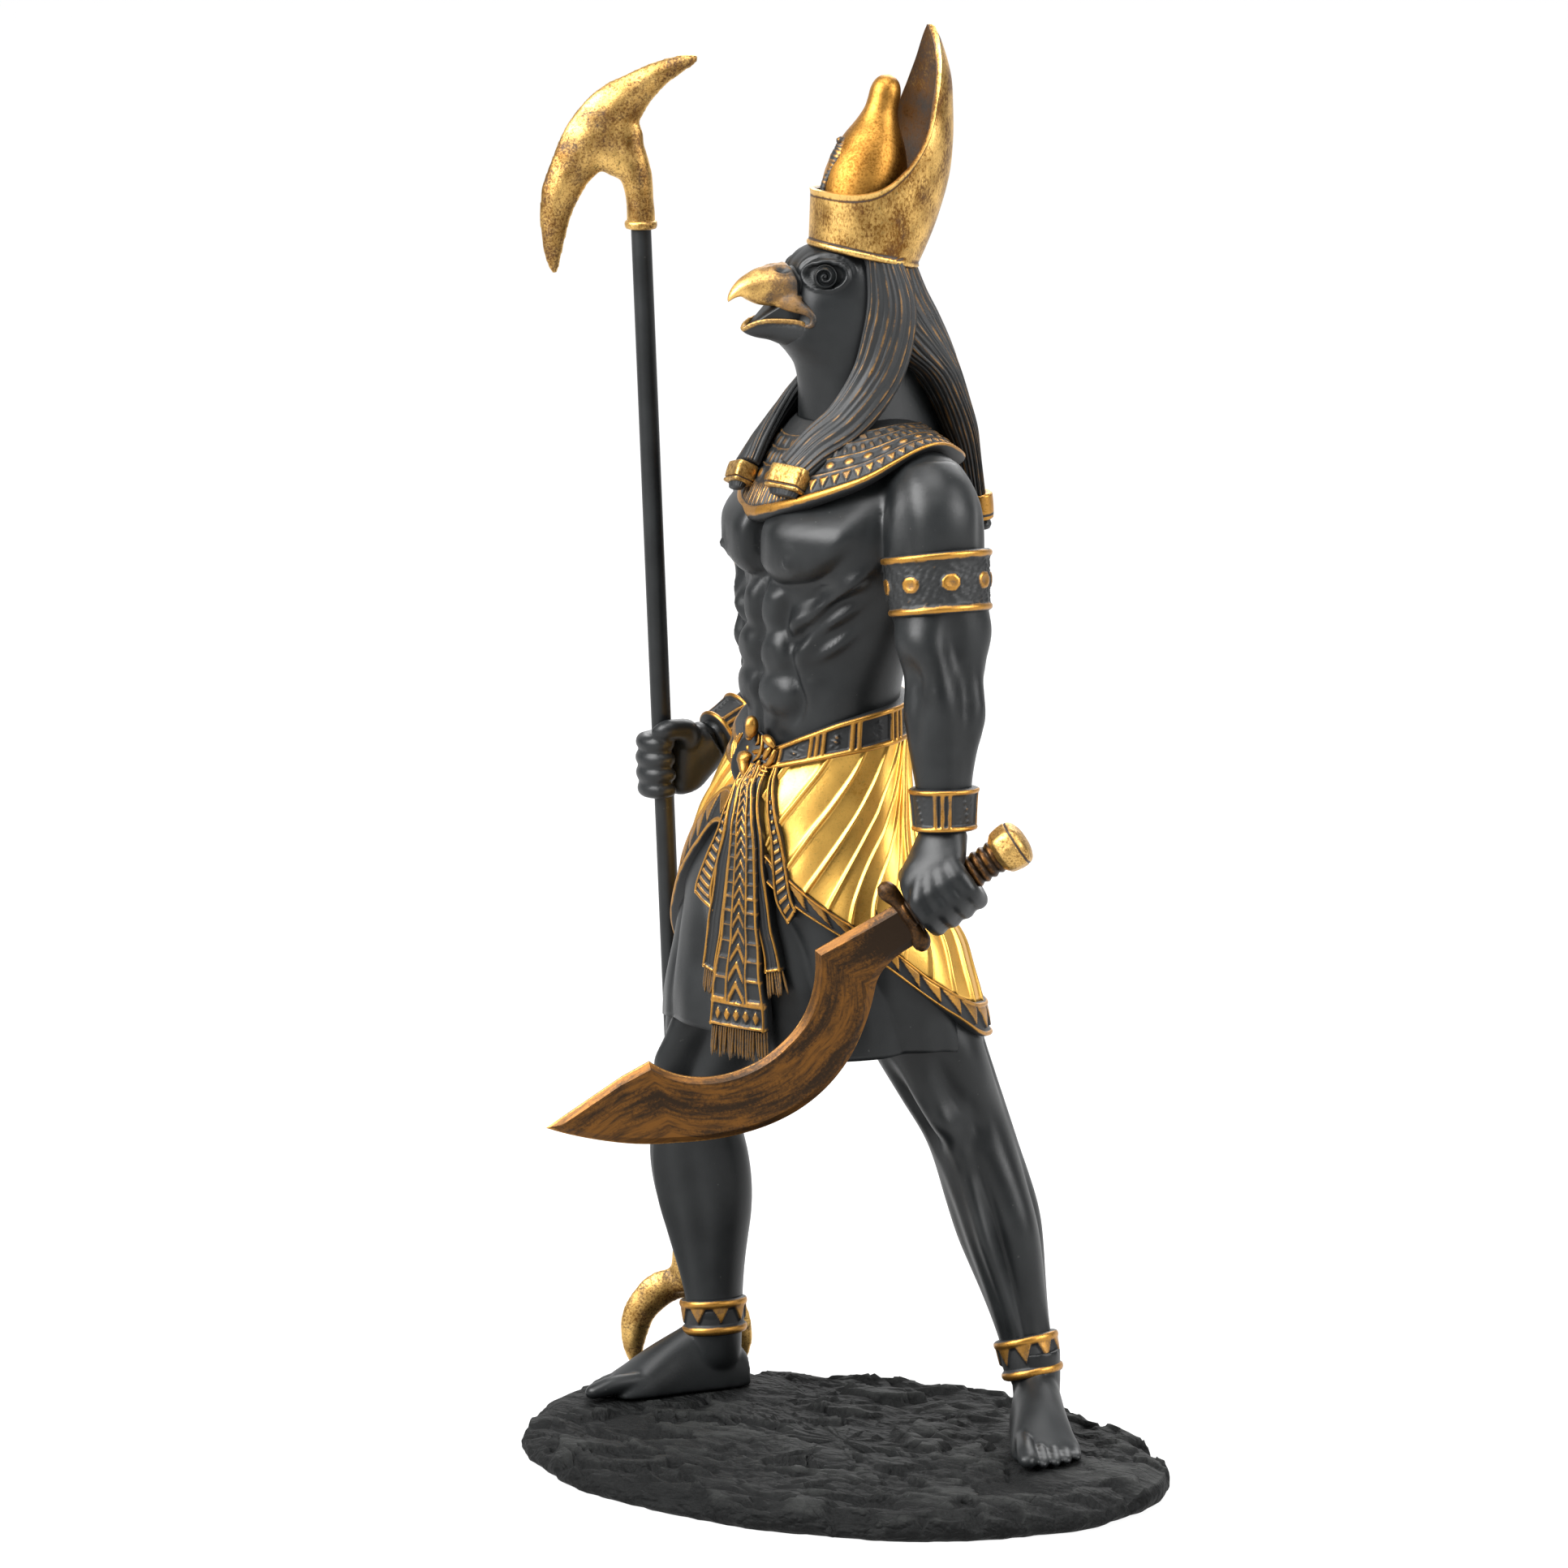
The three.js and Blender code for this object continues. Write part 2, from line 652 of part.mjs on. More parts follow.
// A foot in cross sections: a flat sole, and a top that parts into five toes at the front
const footRows = along([
  [0, 3.6, 6, 0, 0],
  [3, 5, 10, 0, 0],
  [9, 5.6, 15, 0.1, 0],
  [15, 6, 12.4, 0.2, 0],
  [22, 6.8, 8.4, 0.4, 0],
  [28, 7.4, 5.4, 0.5, 0.25],
  [33, 7.2, 4.2, 0.2, 1],
  [36, 6.6, 3.6, 0, 1],
  [37.4, 6.2, 2, 0, 1],
]);
const toeReach = (across) => 1 - 0.011 * (across - 1) ** 2 - 0.022 * (1 - across);
function foot(heel, facing, hand) {
  const [ahead, left] = [frontOf(facing), leftOf(facing)];
  const place = (forward, side, z) =>
    heel.clone().addScaledVector(ahead, forward).addScaledVector(left, side * hand).setZ(z);
  return skin(
    [0, 9, 15, 22, 28, 33, 37.2].map((forward) => {
      const [half, tall, shift, toes] = footRows(forward);
      const top = evenly(0, 10, 10).map((k) => {
        const across = k / 5 - 1;
        const dome = Math.sqrt(Math.max(1 - across * across, 0));
        const round = tall * (0.25 + 0.75 * dome);
        const toe = tall * (k % 2 ? 0.95 + 0.25 * (k === 9) : 0.4);
        const reach = forward * (1 - toes * (1 - toeReach(across)));
        return place(reach, across * half + shift, round + (toe - round) * toes);
      });
      const edge = forward * (1 - toes * (1 - toeReach(-1)));
      return [...top, place(forward, half * 0.9 + shift, 0), place(edge, -half * 0.9 + shift, 0)];
    }),
  );
}
const footLeft = foot(at(31.6, 27.4, 0), 31, -1);
const footRight = foot(at(-35.6, 28.4, 0), -46.6, 1);

// Dress: belt, under-kilt, gilded wrap with a banded hem, apron and streamers
const kiltStations = [
  [76, -12.9, 17.8, -4, 37, 20.4, 25.4],
  [88, -13.1, 17.4, -6, 36.6, 20.4, 25.4],
  [98, -13.7, 16.8, -12, 35, 20.2, 25.2],
  [105, -14.4, 17, -16, 33.6, 20.4, 23.8],
  [115, -16.2, 17.6, -24, 29.6, 21.4, 20.4],
  [128, -14.8, 19.2, -32, 25, 22.4, 17],
  [135, -13.6, 18.6, hipFacing, 23, 20, 16.4],
  [142, -12.4, 18.4, hipFacing, 21.4, 17, 15],
  [154, -11.6, 18, hipFacing, 20.6, 14.8, 13.6],
];
const kiltSides = 20;
const readKilt = along(kiltStations);
function kiltPoint(angle, z, lift) {
  const [x, y, facing, width, front, back] = readKilt(z);
  const depth = Math.cos(angle) > 0 ? front : back;
  return at(x, y, z)
    .addScaledVector(leftOf(facing), Math.sin(angle) * (width + lift))
    .addScaledVector(frontOf(facing), Math.cos(angle) * (depth + lift));
}
const kiltRing = (height, lift) =>
  Array.from({ length: kiltSides }, (_, j) => {
    const turn = (j / kiltSides) * 2 * Math.PI;
    const angle = turn > Math.PI ? turn - 2 * Math.PI : turn;
    const raise = typeof lift === "function" ? lift(j) : lift;
    return kiltPoint(angle, typeof height === "function" ? height(angle) : height, raise);
  });
// Heights round the kilt, by degrees from the front: minus is the figure's right side
const byDegrees = (stations) => (angle) => along(stations)(THREE.MathUtils.radToDeg(angle));
const beltFoot = byDegrees([
  [-180, 146.8],
  [-90, 144.4],
  [-40, 140.6],
  [0, 138.8],
  [20, 140],
  [42, 142],
  [66, 144],
  [100, 145.5],
  [180, 146.8],
]);
const beltTop = byDegrees([
  [-180, 154.6],
  [-90, 151.6],
  [-40, 146.4],
  [0, 143.6],
  [20, 144.8],
  [42, 148.3],
  [66, 151.5],
  [100, 153.6],
  [180, 154.6],
]);
const underHem = byDegrees([
  [-180, 80.6],
  [-90, 81.4],
  [-50, 83.4],
  [-30, 83],
  [0, 80],
  [20, 80],
  [40, 81.6],
  [60, 82.8],
  [100, 81.6],
  [180, 80.6],
]);
const hemLine = byDegrees([
  [-180, 82],
  [-110, 90],
  [-60, 107],
  [-20, 122],
  [0, 128],
  [18, 121],
  [45, 107],
  [60, 99],
  [75, 91],
  [100, 84],
  [180, 82],
]);
const hemBand = 7.6;
const beadHeight = 1.5;
const beadLift = 1.7;
const pleat = (j) => (j % 2 ? 0.15 : 0.95);
const underPleat = (j) => (j % 2 ? -1 : 0);
const above = (line, height) => (angle) => line(angle) + height;
const between = (from, to, share) => (angle) => from(angle) + (to(angle) - from(angle)) * share;
const hemTop = above(hemLine, hemBand);
const underKilt = skin([
  kiltRing(underHem, -3),
  kiltRing(underHem, underPleat),
  kiltRing(128, -2),
]);
const dress = skin([
  kiltRing(hemLine, -4),
  kiltRing(hemLine, beadLift),
  kiltRing(above(hemLine, beadHeight), 0.8),
  kiltRing(above(hemLine, hemBand - beadHeight), 0.8),
  kiltRing(hemTop, beadLift),
  kiltRing(above(hemTop, 0.3), pleat),
  kiltRing(between(hemTop, beltFoot, 0.5), pleat),
  kiltRing(beltFoot, pleat),
  kiltRing(above(beltFoot, 0.3), beadLift),
  kiltRing(above(beltFoot, beadHeight), 1),
  kiltRing(above(beltTop, -beadHeight), 1),
  kiltRing(beltTop, beadLift),
  kiltRing(beltTop, -5),
]);

// Apron and streamers hang down the front from the clasp, each a flat strip laid on the kilt.
// Rows hold height and the degrees round the kilt of the strip's right and left edge.
function strip({ rows, lift, thick }) {
  return skin(
    rows.map(([z, right, left]) => {
      const corners = [[right, lift - 3], [left, lift - 3], [left, lift + thick], [right, lift + thick]];
      return corners.map(([degrees, out]) => kiltPoint(radians(degrees), z, out));
    }),
  );
}
const apron = strip({
  rows: [[139, 10, 19], [128, 13.5, 26.7], [114, 4.2, 19.5], [107, -5, 11], [97, -13.6, 5.2], [80, -22, -1]],
  lift: 1.8,
  thick: 1.2,
});
const streamers = [
  [1, [[139, 5, 9], [128, 7.8, 13.8], [114, -4.2, 4.2], [107, -14.2, -5], [92, -24, -17]]],
  [1, [[139, 18, 23], [128, 22, 29.2], [114, 16.5, 23.7], [107, 9.5, 16.2], [93, 3, 12]]],
  [0.6, [[139, 3, 7], [128, 2.2, 8], [120, -9, 1], [110.5, -21.5, -8.5]]],
  [0.6, [[139, 24, 30], [128, 31, 38.2], [120, 29.5, 37.2], [111, 26, 34]]],
].map(([lift, rows]) => strip({ rows, lift, thick: 1 }));
const claspAt = radians(9);
const claspFacing = -22;
const clasp = limb(
  [kiltPoint(claspAt, 150, 1.6), kiltPoint(claspAt, 144, 2.4), kiltPoint(claspAt, 134.5, 2.6)],
  [
    [0, 1.4, 1],
    [0.16, 2.2, 2.2],
    [0.34, 2.6, 1.8],
    [0.5, 5.6, 1.8],
    [0.75, 4.4, 1.6],
    [1, 2.4, 0.8],
  ],
  8,
  6,
  frontOf(claspFacing),
);

// Room for the bars that pass through the fists, with the gap they need
const bore = (line, radius) => limb(line, [[0, radius, radius], [1, radius, radius]], 10, 1, viewAway);
const gripBore = [-9, 0, 16].map((slide) => onGrip(slide));
const rodBore = [forkTop, fistRise, headRise].map(onStaff);

const figureSolid = join([
  trunk,
  head,
  beakUpper,
  beakLower,
  ...eyes,
  wig,
  ...lappets,
  collar,
  drum,
  bulb,
  cobra,
  armLeft,
  armRight,
  fistLeft,
  fistRight,
  legLeft,
  legRight,
  footLeft,
  footRight,
  underKilt,
  dress,
  apron,
  ...streamers,
  clasp,
])
  .subtract(bore(gripBore, gripRadius + gap))
  .subtract(bore(rodBore, rodRadius + gap));

// Sword: ringed grip, guard bar, faceted pommel, and a sickle blade in one casting
const acrossGrip = gripLine.clone().cross(viewAway).normalize();
const roundGrip = ([slide, radius]) => oval(onGrip(slide), acrossGrip, viewAway, radius, radius, 8);
const ringDepth = 0.45;
const gripRows = [-7, ...evenly(8, 15, 4)];
const grip = skin(gripRows.map((slide, i) => roundGrip([slide, gripRadius - (i % 2 ? 0 : ringDepth)])));
const pommelFlare = gripRadius * 1.4;
const pommelRows = [
  [14.6, pommelFlare * 0.67],
  [15.6, pommelFlare * 0.92],
  [18.4, pommelFlare],
  [20.6, pommelFlare * 0.86],
  [21.4, pommelFlare * 0.53],
];
const pommel = skin(pommelRows.map(roundGrip));
const guardSlide = -7.2;
const guardHalf = 8.2;
const guardBow = 1.4;
const guardLine = evenly(-1, 1, 4).map((share) =>
  onGrip(guardSlide - guardBow * share * share).addScaledVector(acrossGrip, share * guardHalf),
);
const guard = limb(
  guardLine,
  [
    [0, 0.8, 0.8],
    [0.12, 1.9, 2],
    [0.5, 1.6, 3.2],
    [0.88, 1.9, 2],
    [1, 0.8, 0.8],
  ],
  6,
  5,
  viewAway,
);
// The blade's outline lies in the upright plane of the grip, as distance from the guard and height
const bladeRoot = onGrip(-11);
const outline = new THREE.Shape();
outline.moveTo(4.6, 6.4);
outline.lineTo(-15.6, -5.4);
outline.quadraticCurveTo(-14.6, -17.6, -22.4, -24.8);
outline.bezierCurveTo(-28.6, -31.2, -40.4, -35, -49.4, -28.6);
outline.lineTo(-55, -31.8);
outline.lineTo(-70.4, -42.6);
outline.quadraticCurveTo(-56, -46.8, -44, -45.6);
outline.bezierCurveTo(-26, -44.8, -7.2, -34, -3.4, -13.4);
outline.quadraticCurveTo(-2.6, -7.6, 7, -3);
outline.closePath();
const bevel = 0.8;
const bladeShape = new THREE.ExtrudeGeometry(outline, {
  depth: own(bladeThickness) - 2 * bevel,
  bevelEnabled: true,
  bevelThickness: bevel,
  bevelSize: bevel,
  bevelOffset: -bevel,
  bevelSegments: 1,
  curveSegments: 4,
});
const bladeSide = viewRight.clone().cross(up);
const bladeFrame = new THREE.Matrix4().makeBasis(viewRight, up, bladeSide);
bladeFrame.setPosition(bladeRoot.addScaledVector(bladeSide, bevel - own(bladeThickness) / 2));
const blade = fromGeometry(bladeShape.applyMatrix4(bladeFrame));
const swordSolid = join([grip, pommel, guard, blade]);

// Staff head and foot: curved blades of lens section in the upright plane of the rod
const onView = (rise, side) => onStaff(rise).addScaledVector(viewRight, side);
const staffPiece = (from, points, size, sides, steps) =>
  limb(points.map(([side, rise]) => onView(from + rise, side)), size, sides, steps, viewAway);
const crescent = staffPiece(
  headRise,
  [
    [-18.2, -9.7],
    [-18.5, -6.7],
    [-18.4, -2.7],
    [-17.8, 1.9],
    [-16.6, 6.8],
    [-14.6, 11],
    [-10.9, 16.6],
    [-6.9, 21.6],
    [-2.8, 26],
    [0.6, 28.9],
    [4.2, 31.4],
    [8, 33.4],
    [13.3, 35.5],
  ],
  [
    [0, 0.9, 0.8],
    [0.12, 2.5, 1.7],
    [0.28, 4, 2.3],
    [0.36, 4.5, 2.4],
    [0.48, 5.8, 2.7],
    [0.6, 6, 2.7],
    [0.7, 5, 2.6],
    [0.76, 4, 2.3],
    [0.84, 2.9, 1.9],
    [0.94, 1.8, 1.4],
    [1, 0.8, 0.7],
  ],
  8,
  10,
);
const stem = staffPiece(
  headRise,
  [[0, 0], [0, 5], [-0.2, 8.6], [-1, 12], [-3.5, 15.6], [-6, 20.4]],
  [
    [0, 3, 3],
    [0.23, 2.9, 2.9],
    [0.39, 3.1, 2.9],
    [0.55, 3.7, 2.8],
    [0.75, 5.6, 2.6],
    [1, 6.8, 2.2],
  ],
  8,
  5,
);
const socketRadius = rodRadius * 1.57;
const socketHeight = 1.8;
const socketRows = [
  [headRise - 0.2, socketRadius * 0.88],
  [headRise, socketRadius],
  [headRise + socketHeight - 0.2, socketRadius],
  [headRise + socketHeight, socketRadius * 0.88],
];
const roundStaff = ([rise, radius]) => oval(onStaff(rise), viewRight, viewAway, radius, radius, 10);
const socket = skin(socketRows.map(roundStaff));
const staffHeadSolid = join([crescent, stem, socket]);

const prong = (hand) =>
  staffPiece(
    0,
    [[0, 20.4], [-5.2 * hand, 18.6], [-9.8 * hand, 13.6], [-11.4 * hand, 7.4], [-10.8 * hand, 0.6]],
    [
      [0, 3.6, 2.1],
      [0.3, 3.8, 2.1],
      [0.6, 3.2, 2],
      [0.85, 1.9, 1.4],
      [1, 0.5, 0.5],
    ],
    6,
    5,
  );
const forkNeck = staffPiece(
  forkTop,
  [[0, 0], [0, -3.5], [0, -9]],
  [
    [0, 2.3, 2.3],
    [0.5, 3, 2.6],
    [1, 5.5, 2.4],
  ],
  8,
  3,
);
const staffForkSolid = join([forkNeck, prong(1), prong(-1)]);
const rodEnds = [forkTop + gap, headRise - 0.2 - gap];
const rodSolid = skin(
  rodEnds.map((rise) => oval(onStaff(rise), viewRight, viewAway, rodRadius, rodRadius, 12)),
);

// Base: an oval slab of flaky rock, level where the feet and the fork stand
const baseSides = 30;
const stands = [
  [at(-35.6, 28.4, 0), at(-62.5, 3, 0), 9],
  [at(31.6, 27.4, 0), at(51, -5, 0), 9],
  [at(-60.5, 23.2, 0), at(-38.5, 33.4, 0), 4],
].map(([from, to, reach]) => [from.multiplyScalar(unit), to.multiplyScalar(unit), reach * unit]);
function awayFromStands(p) {
  return Math.min(
    ...stands.map(([from, to, reach]) => {
      const line = new THREE.Line3(from, to);
      const near = line.closestPointToPoint(p, true, at(0, 0, 0));
      return clamp((near.distanceTo(p) - reach) / 5, 0, 1);
    }),
  );
}
const rock = (x, y) => {
  const flakes =
    Math.sin(0.33 * x + 1.7 * Math.sin(0.11 * y + 1)) * Math.cos(0.41 * y + 1.1 * Math.sin(0.17 * x));
  const chips = Math.sin(0.93 * x - 0.6 * y) * Math.sin(0.71 * y + 0.37 * x + 2);
  return rockRelief * (0.6 * flakes + 0.4 * chips - 0.35);
};
const rimWaves = [[5, 0.012, 0.6], [11, 0.01, 0], [17, 0.008, 2]];
const rim = (angle) =>
  rimWaves.reduce((sum, [count, depth, phase]) => sum + depth * Math.sin(count * angle + phase), 1);
function baseRing(share, z, rough, turn = 0) {
  return Array.from({ length: baseSides }, (_, j) => {
    const angle = ((j + turn) / baseSides) * 2 * Math.PI;
    const reach = share * (share > 0.9 ? rim(angle) : 1);
    const p = at(Math.cos(angle) * (baseLength / 2) * reach, Math.sin(angle) * (baseWidth / 2) * reach, 0);
    const relief = rough ? Math.min(rock(p.x, p.y), 0.9) * awayFromStands(p) : 0;
    return p.setZ(z + relief);
  });
}
const baseSolid = skin([
  baseRing(0.985, 0, false),
  baseRing(0.998, baseThickness * 0.3, false),
  baseRing(0.988, baseThickness * 0.62, false),
  baseRing(0.965, baseThickness - 1.1, true),
  baseRing(0.89, baseThickness, true, 0.5),
  baseRing(0.75, baseThickness, true, 1),
  baseRing(0.57, baseThickness, true, 1.5),
  baseRing(0.32, baseThickness, true, 2),
]);

// Scene graph: one named mesh for each piece
function mesh(name, made, { color, roughness, metalness }, scaled = true) {
  const { vertProperties, triVerts } = made.getMesh();
  const geometry = new THREE.BufferGeometry();
  geometry.setAttribute("position", new THREE.BufferAttribute(new Float32Array(vertProperties), 3));
  geometry.setIndex(new THREE.BufferAttribute(new Uint32Array(triVerts), 1));
  geometry.computeVertexNormals();
  const piece = new THREE.Mesh(geometry, new THREE.MeshStandardMaterial({ color, roughness, metalness }));
  piece.name = name;
  if (scaled) {
    piece.scale.setScalar(unit);
    piece.position.z = ground;
  }
  return piece;
}
const blackSatin = { color: 0x25282a, roughness: 0.5, metalness: 0 };
const wornGold = { color: 0xa87a32, roughness: 0.4, metalness: 0.8 };
const darkRock = { color: 0x1f2021, roughness: 0.7, metalness: 0 };

const figurine = new THREE.Group();
figurine.add(
  mesh("rock_base", baseSolid, darkRock, false),
  mesh("falcon_figure", figureSolid, blackSatin),
  mesh("staff_rod", rodSolid, blackSatin),
  mesh("staff_head", staffHeadSolid, wornGold),
  mesh("staff_fork", staffForkSolid, wornGold),
  mesh("sickle_sword", swordSolid, wornGold),
);

export default figurine;
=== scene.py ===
import math

import bpy
import numpy as np
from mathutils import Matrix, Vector

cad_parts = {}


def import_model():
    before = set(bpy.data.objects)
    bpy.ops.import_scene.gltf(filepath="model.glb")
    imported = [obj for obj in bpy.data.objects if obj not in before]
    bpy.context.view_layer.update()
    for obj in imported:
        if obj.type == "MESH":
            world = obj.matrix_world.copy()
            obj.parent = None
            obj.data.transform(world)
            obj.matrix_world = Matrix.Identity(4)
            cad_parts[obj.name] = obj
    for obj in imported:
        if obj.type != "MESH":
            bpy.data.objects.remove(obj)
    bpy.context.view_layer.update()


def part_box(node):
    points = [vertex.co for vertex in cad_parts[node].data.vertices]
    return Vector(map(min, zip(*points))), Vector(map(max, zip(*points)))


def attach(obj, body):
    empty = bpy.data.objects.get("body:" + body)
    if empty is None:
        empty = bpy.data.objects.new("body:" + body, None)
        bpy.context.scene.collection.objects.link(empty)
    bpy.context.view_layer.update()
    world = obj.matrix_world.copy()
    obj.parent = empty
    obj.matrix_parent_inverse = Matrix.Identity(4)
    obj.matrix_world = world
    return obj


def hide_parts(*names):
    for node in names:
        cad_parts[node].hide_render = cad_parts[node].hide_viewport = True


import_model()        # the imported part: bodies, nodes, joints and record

# The figure is drawn in its own millimetres above its
# soles, and carried into the frame by these two values
figureLow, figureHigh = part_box("falcon_figure")
baseLow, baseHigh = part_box("rock_base")
figureTall = 291.3                       # soles to crown tip, in figure millimetres
mm = (figureHigh.z - figureLow.z) / figureTall
soles = figureLow.z
chance = np.random.default_rng(7)


# Small curves that the carving is drawn with
def rise(x, low, high):
    # 0 below low, 1 above high, eased between
    t = np.clip((x - low) / (high - low), 0, 1)
    return t * t * (3 - 2 * t)


def fall(x, low, high):
    # 1 below low, 0 above high
    return 1 - rise(x, low, high)


def bump(x, width):
    # a bell, 1 where x is 0
    return np.exp(-((x / width) ** 2))


def dome(x):
    # half a circle over -1 to 1, 0 outside
    return np.sqrt(np.clip(1 - x * x, 0, 1))


def saw(x):
    # a triangle wave: 1 at whole numbers, 0 half way between
    return np.abs((x % 1) * 2 - 1)


def lumps(u, v, rows, flat=1):
    # mounds and dents, flat-topped where flat is 2: middle,
    # half sizes in u and v, slope of v along u, height
    total = 0.0
    for u0, v0, wide, tall, slope, lift in rows:
        r = ((u - u0) / wide) ** 2 + ((v - v0 - slope * (u - u0)) / tall) ** 2
        total = total + lift * np.exp(-(r ** flat))
    return total


def highest(*parts):
    # the largest of several grids, each spread to the others' shape
    top = parts[0]
    for part in parts[1:]:
        top = np.maximum(top, part)
    return top


def unitOf(v):
    # vectors over their own lengths
    return v / np.linalg.norm(v, axis=-1, keepdims=True)


def frontOf(azimuth):
    # the level direction that something faces when turned by these degrees: (sin, -cos, 0)
    a = np.radians(azimuth)
    return np.stack([np.sin(a), -np.cos(a), np.zeros_like(a)], -1)


def leftOf(azimuth):
    # the level direction to its left: (cos, sin, 0)
    a = np.radians(azimuth)
    return np.stack([np.cos(a), np.sin(a), np.zeros_like(a)], -1)


def turns(sides):
    # angles of a ring's sides, from -pi, 0 at the front, growing to the figure's left
    return (np.arange(sides) / sides * 2 - 1) * np.pi


def along(stations, where):
    # values eased through stations written as [where,
    # value, value, ...], with the slope of their neighbours
    rows = np.asarray(stations, float)
    x, y = rows[:, 0], rows[:, 1:]
    run = np.vstack([rows[1:], rows[-1:]]) - np.vstack([rows[:1], rows[:-1]])
    slope = run[:, 1:] / run[:, :1]
    w = np.clip(np.asarray(where, float), x[0], x[-1])
    i = np.clip(np.searchsorted(x, w, "right") - 1, 0, len(x) - 2)
    span = (x[i + 1] - x[i])[..., None]
    t = (w - x[i])[..., None] / span
    start = y[i] * (1 + 2 * t) * (1 - t) ** 2 + slope[i] * span * t * (1 - t) ** 2
    end = y[i + 1] * t * t * (3 - 2 * t) + slope[i + 1] * span * t * t * (t - 1)
    value = start + end
    return value[..., 0] if value.shape[-1] == 1 else value


def route(points, count):
    # evenly spaced points on a smooth line through the given ones
    points = np.asarray(points, float)
    far = np.concatenate([[0], np.cumsum(np.linalg.norm(np.diff(points, axis=0), axis=1))])
    fine = along(np.column_stack([far, points]), np.linspace(0, far[-1], count * 8))
    run = np.concatenate([[0], np.cumsum(np.linalg.norm(np.diff(fine, axis=0), axis=1))])
    even = np.linspace(0, run[-1], count)
    return np.stack([np.interp(even, run, fine[:, k]) for k in range(3)], 1)


def ripple(points, size, seed):
    # soft unevenness between about -1 and 1: six sine waves in seeded directions
    dice = np.random.default_rng(seed)
    ways = unitOf(dice.normal(size=(6, 3))) * dice.uniform(0.7, 1.4, (6, 1)) * 2 * np.pi / size
    phase = dice.uniform(0, 2 * np.pi, 6)
    return np.sin(points @ ways.T + phase).mean(-1) * 1.6


# Rings: a shape is a grid of rows by sides by three, in figure millimetres
def levels(stations, z, a, shape=1.0, bend=0.0):
    # level rings: across = sin(angle) times the half width,
    # ahead = cos(angle) times the front or back depth
    x, y, facing, wide, front, back = along(stations, z).T
    ahead, left = frontOf(facing)[:, None], leftOf(facing)[:, None]
    across = np.sin(a) * wide[:, None] * shape
    depth = np.cos(a) * np.where(np.cos(a) > 0, front[:, None], back[:, None]) * shape
    depth = depth - np.maximum(-across, 0) * bend
    centre = np.stack([x, y, z], -1)[:, None]
    return centre + left * across[..., None] + ahead * depth[..., None]


def tube(points, stations, count, sides, facing, shape=None):
    # a section carried along a line: half width across it
    # and half depth towards the facing, by share of length
    path = route(points, count)
    t = np.linspace(0, 1, count)
    wide, deep = along(stations, t).T
    tangent = unitOf(np.gradient(path, axis=0))
    facing = np.asarray(facing(t) if callable(facing) else facing, float)
    side = unitOf(np.cross(tangent, facing))
    front = unitOf(np.cross(side, tangent))
    a = turns(sides)
    k = shape(t[:, None], a[None, :]) if shape else np.ones((count, sides))
    across = np.sin(a) * wide[:, None] * k
    depth = np.cos(a) * deep[:, None] * k
    return path[:, None] + side[:, None] * across[..., None] + front[:, None] * depth[..., None]


def blob(centre, axes, sizes, sides=24):
    # an ellipsoid: rings from pole to pole along the third axis
    t = np.linspace(0.04, np.pi - 0.04, sides // 2)[:, None, None]
    a = turns(sides)[None, :, None]
    x, y, z = (unitOf(np.asarray(axis, float)) for axis in axes)
    across = np.sin(t) * (np.sin(a) * x * sizes[0] + np.cos(a) * y * sizes[1])
    return np.asarray(centre, float) + across - np.cos(t) * z * sizes[2]


def loft(grid):
    # points and faces of a grid closed round each row, with a middle point that closes each end
    rows, sides = grid.shape[:2]
    index = np.arange(rows * sides).reshape(rows, sides)
    after = np.roll(index, -1, 1)
    faces = np.stack([index[:-1], after[:-1], after[1:], index[1:]], -1).reshape(-1, 4).tolist()
    points = np.vstack([grid.reshape(-1, 3), grid[0].mean(0), grid[-1].mean(0)])
    first, last = np.full(sides, rows * sides), np.full(sides, rows * sides + 1)
    faces += np.stack([after[0], index[0], first], -1).tolist()
    faces += np.stack([index[-1], after[-1], last], -1).tolist()
    return points, outward(points, faces)


def joined(grids):
    # the points and faces of many closed shapes, numbered on from one to the next
    points, faces, start = [], [], 0
    for grid in grids:
        own, ownFaces = loft(grid)
        points.append(own)
        faces += [[i + start for i in face] for face in ownFaces]
        start += len(own)
    return np.vstack(points), faces


def outward(points, faces):
    # all faces turned over where the volume that they close, a sum of p . (q x r), is negative
    corners = np.array([face[:3] for face in faces] + [[f[0], f[2], f[3]] for f in faces if len(f) == 4])
    p, q, r = (points[corners[:, k]] for k in range(3))
    if np.einsum("ij,ij->i", p, np.cross(q, r)).sum() < 0:
        return [face[::-1] for face in faces]
    return faces


def world(points):
    # figure millimetres into the frame: times mm, raised by the soles' height
    return points * mm + np.array([0, 0, soles])


def addPiece(name, points, faces, finish, marks=None, crease=None, placed=False):
    # a piece of the scene on the root body; marks are values kept at its points for its paint
    mesh = bpy.data.meshes.new(name)
    mesh.from_pydata((points if placed else world(points)).tolist(), [], faces)
    mesh.polygons.foreach_set("use_smooth", np.ones(len(mesh.polygons), bool))
    if crease:
        mesh.set_sharp_from_angle(angle=math.radians(crease))
    for mark, values in (marks or {}).items():
        kept = np.zeros(len(mesh.vertices), np.float32)
        flat = np.asarray(values, np.float32).ravel()
        kept[:flat.size] = flat
        mesh.attributes.new(mark, "FLOAT", "POINT").data.foreach_set("value", kept)
    material, slotName = finishes[finish]
    mesh.materials.append(material)
    piece = bpy.data.objects.new(name, mesh)
    bpy.context.scene.collection.objects.link(piece)
    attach(piece, "root")
    return piece


def addLoft(name, grid, finish, marks=None, crease=None):
    # a piece from one closed grid
    points, faces = loft(grid)
    return addPiece(name, points, faces, finish, marks, crease)


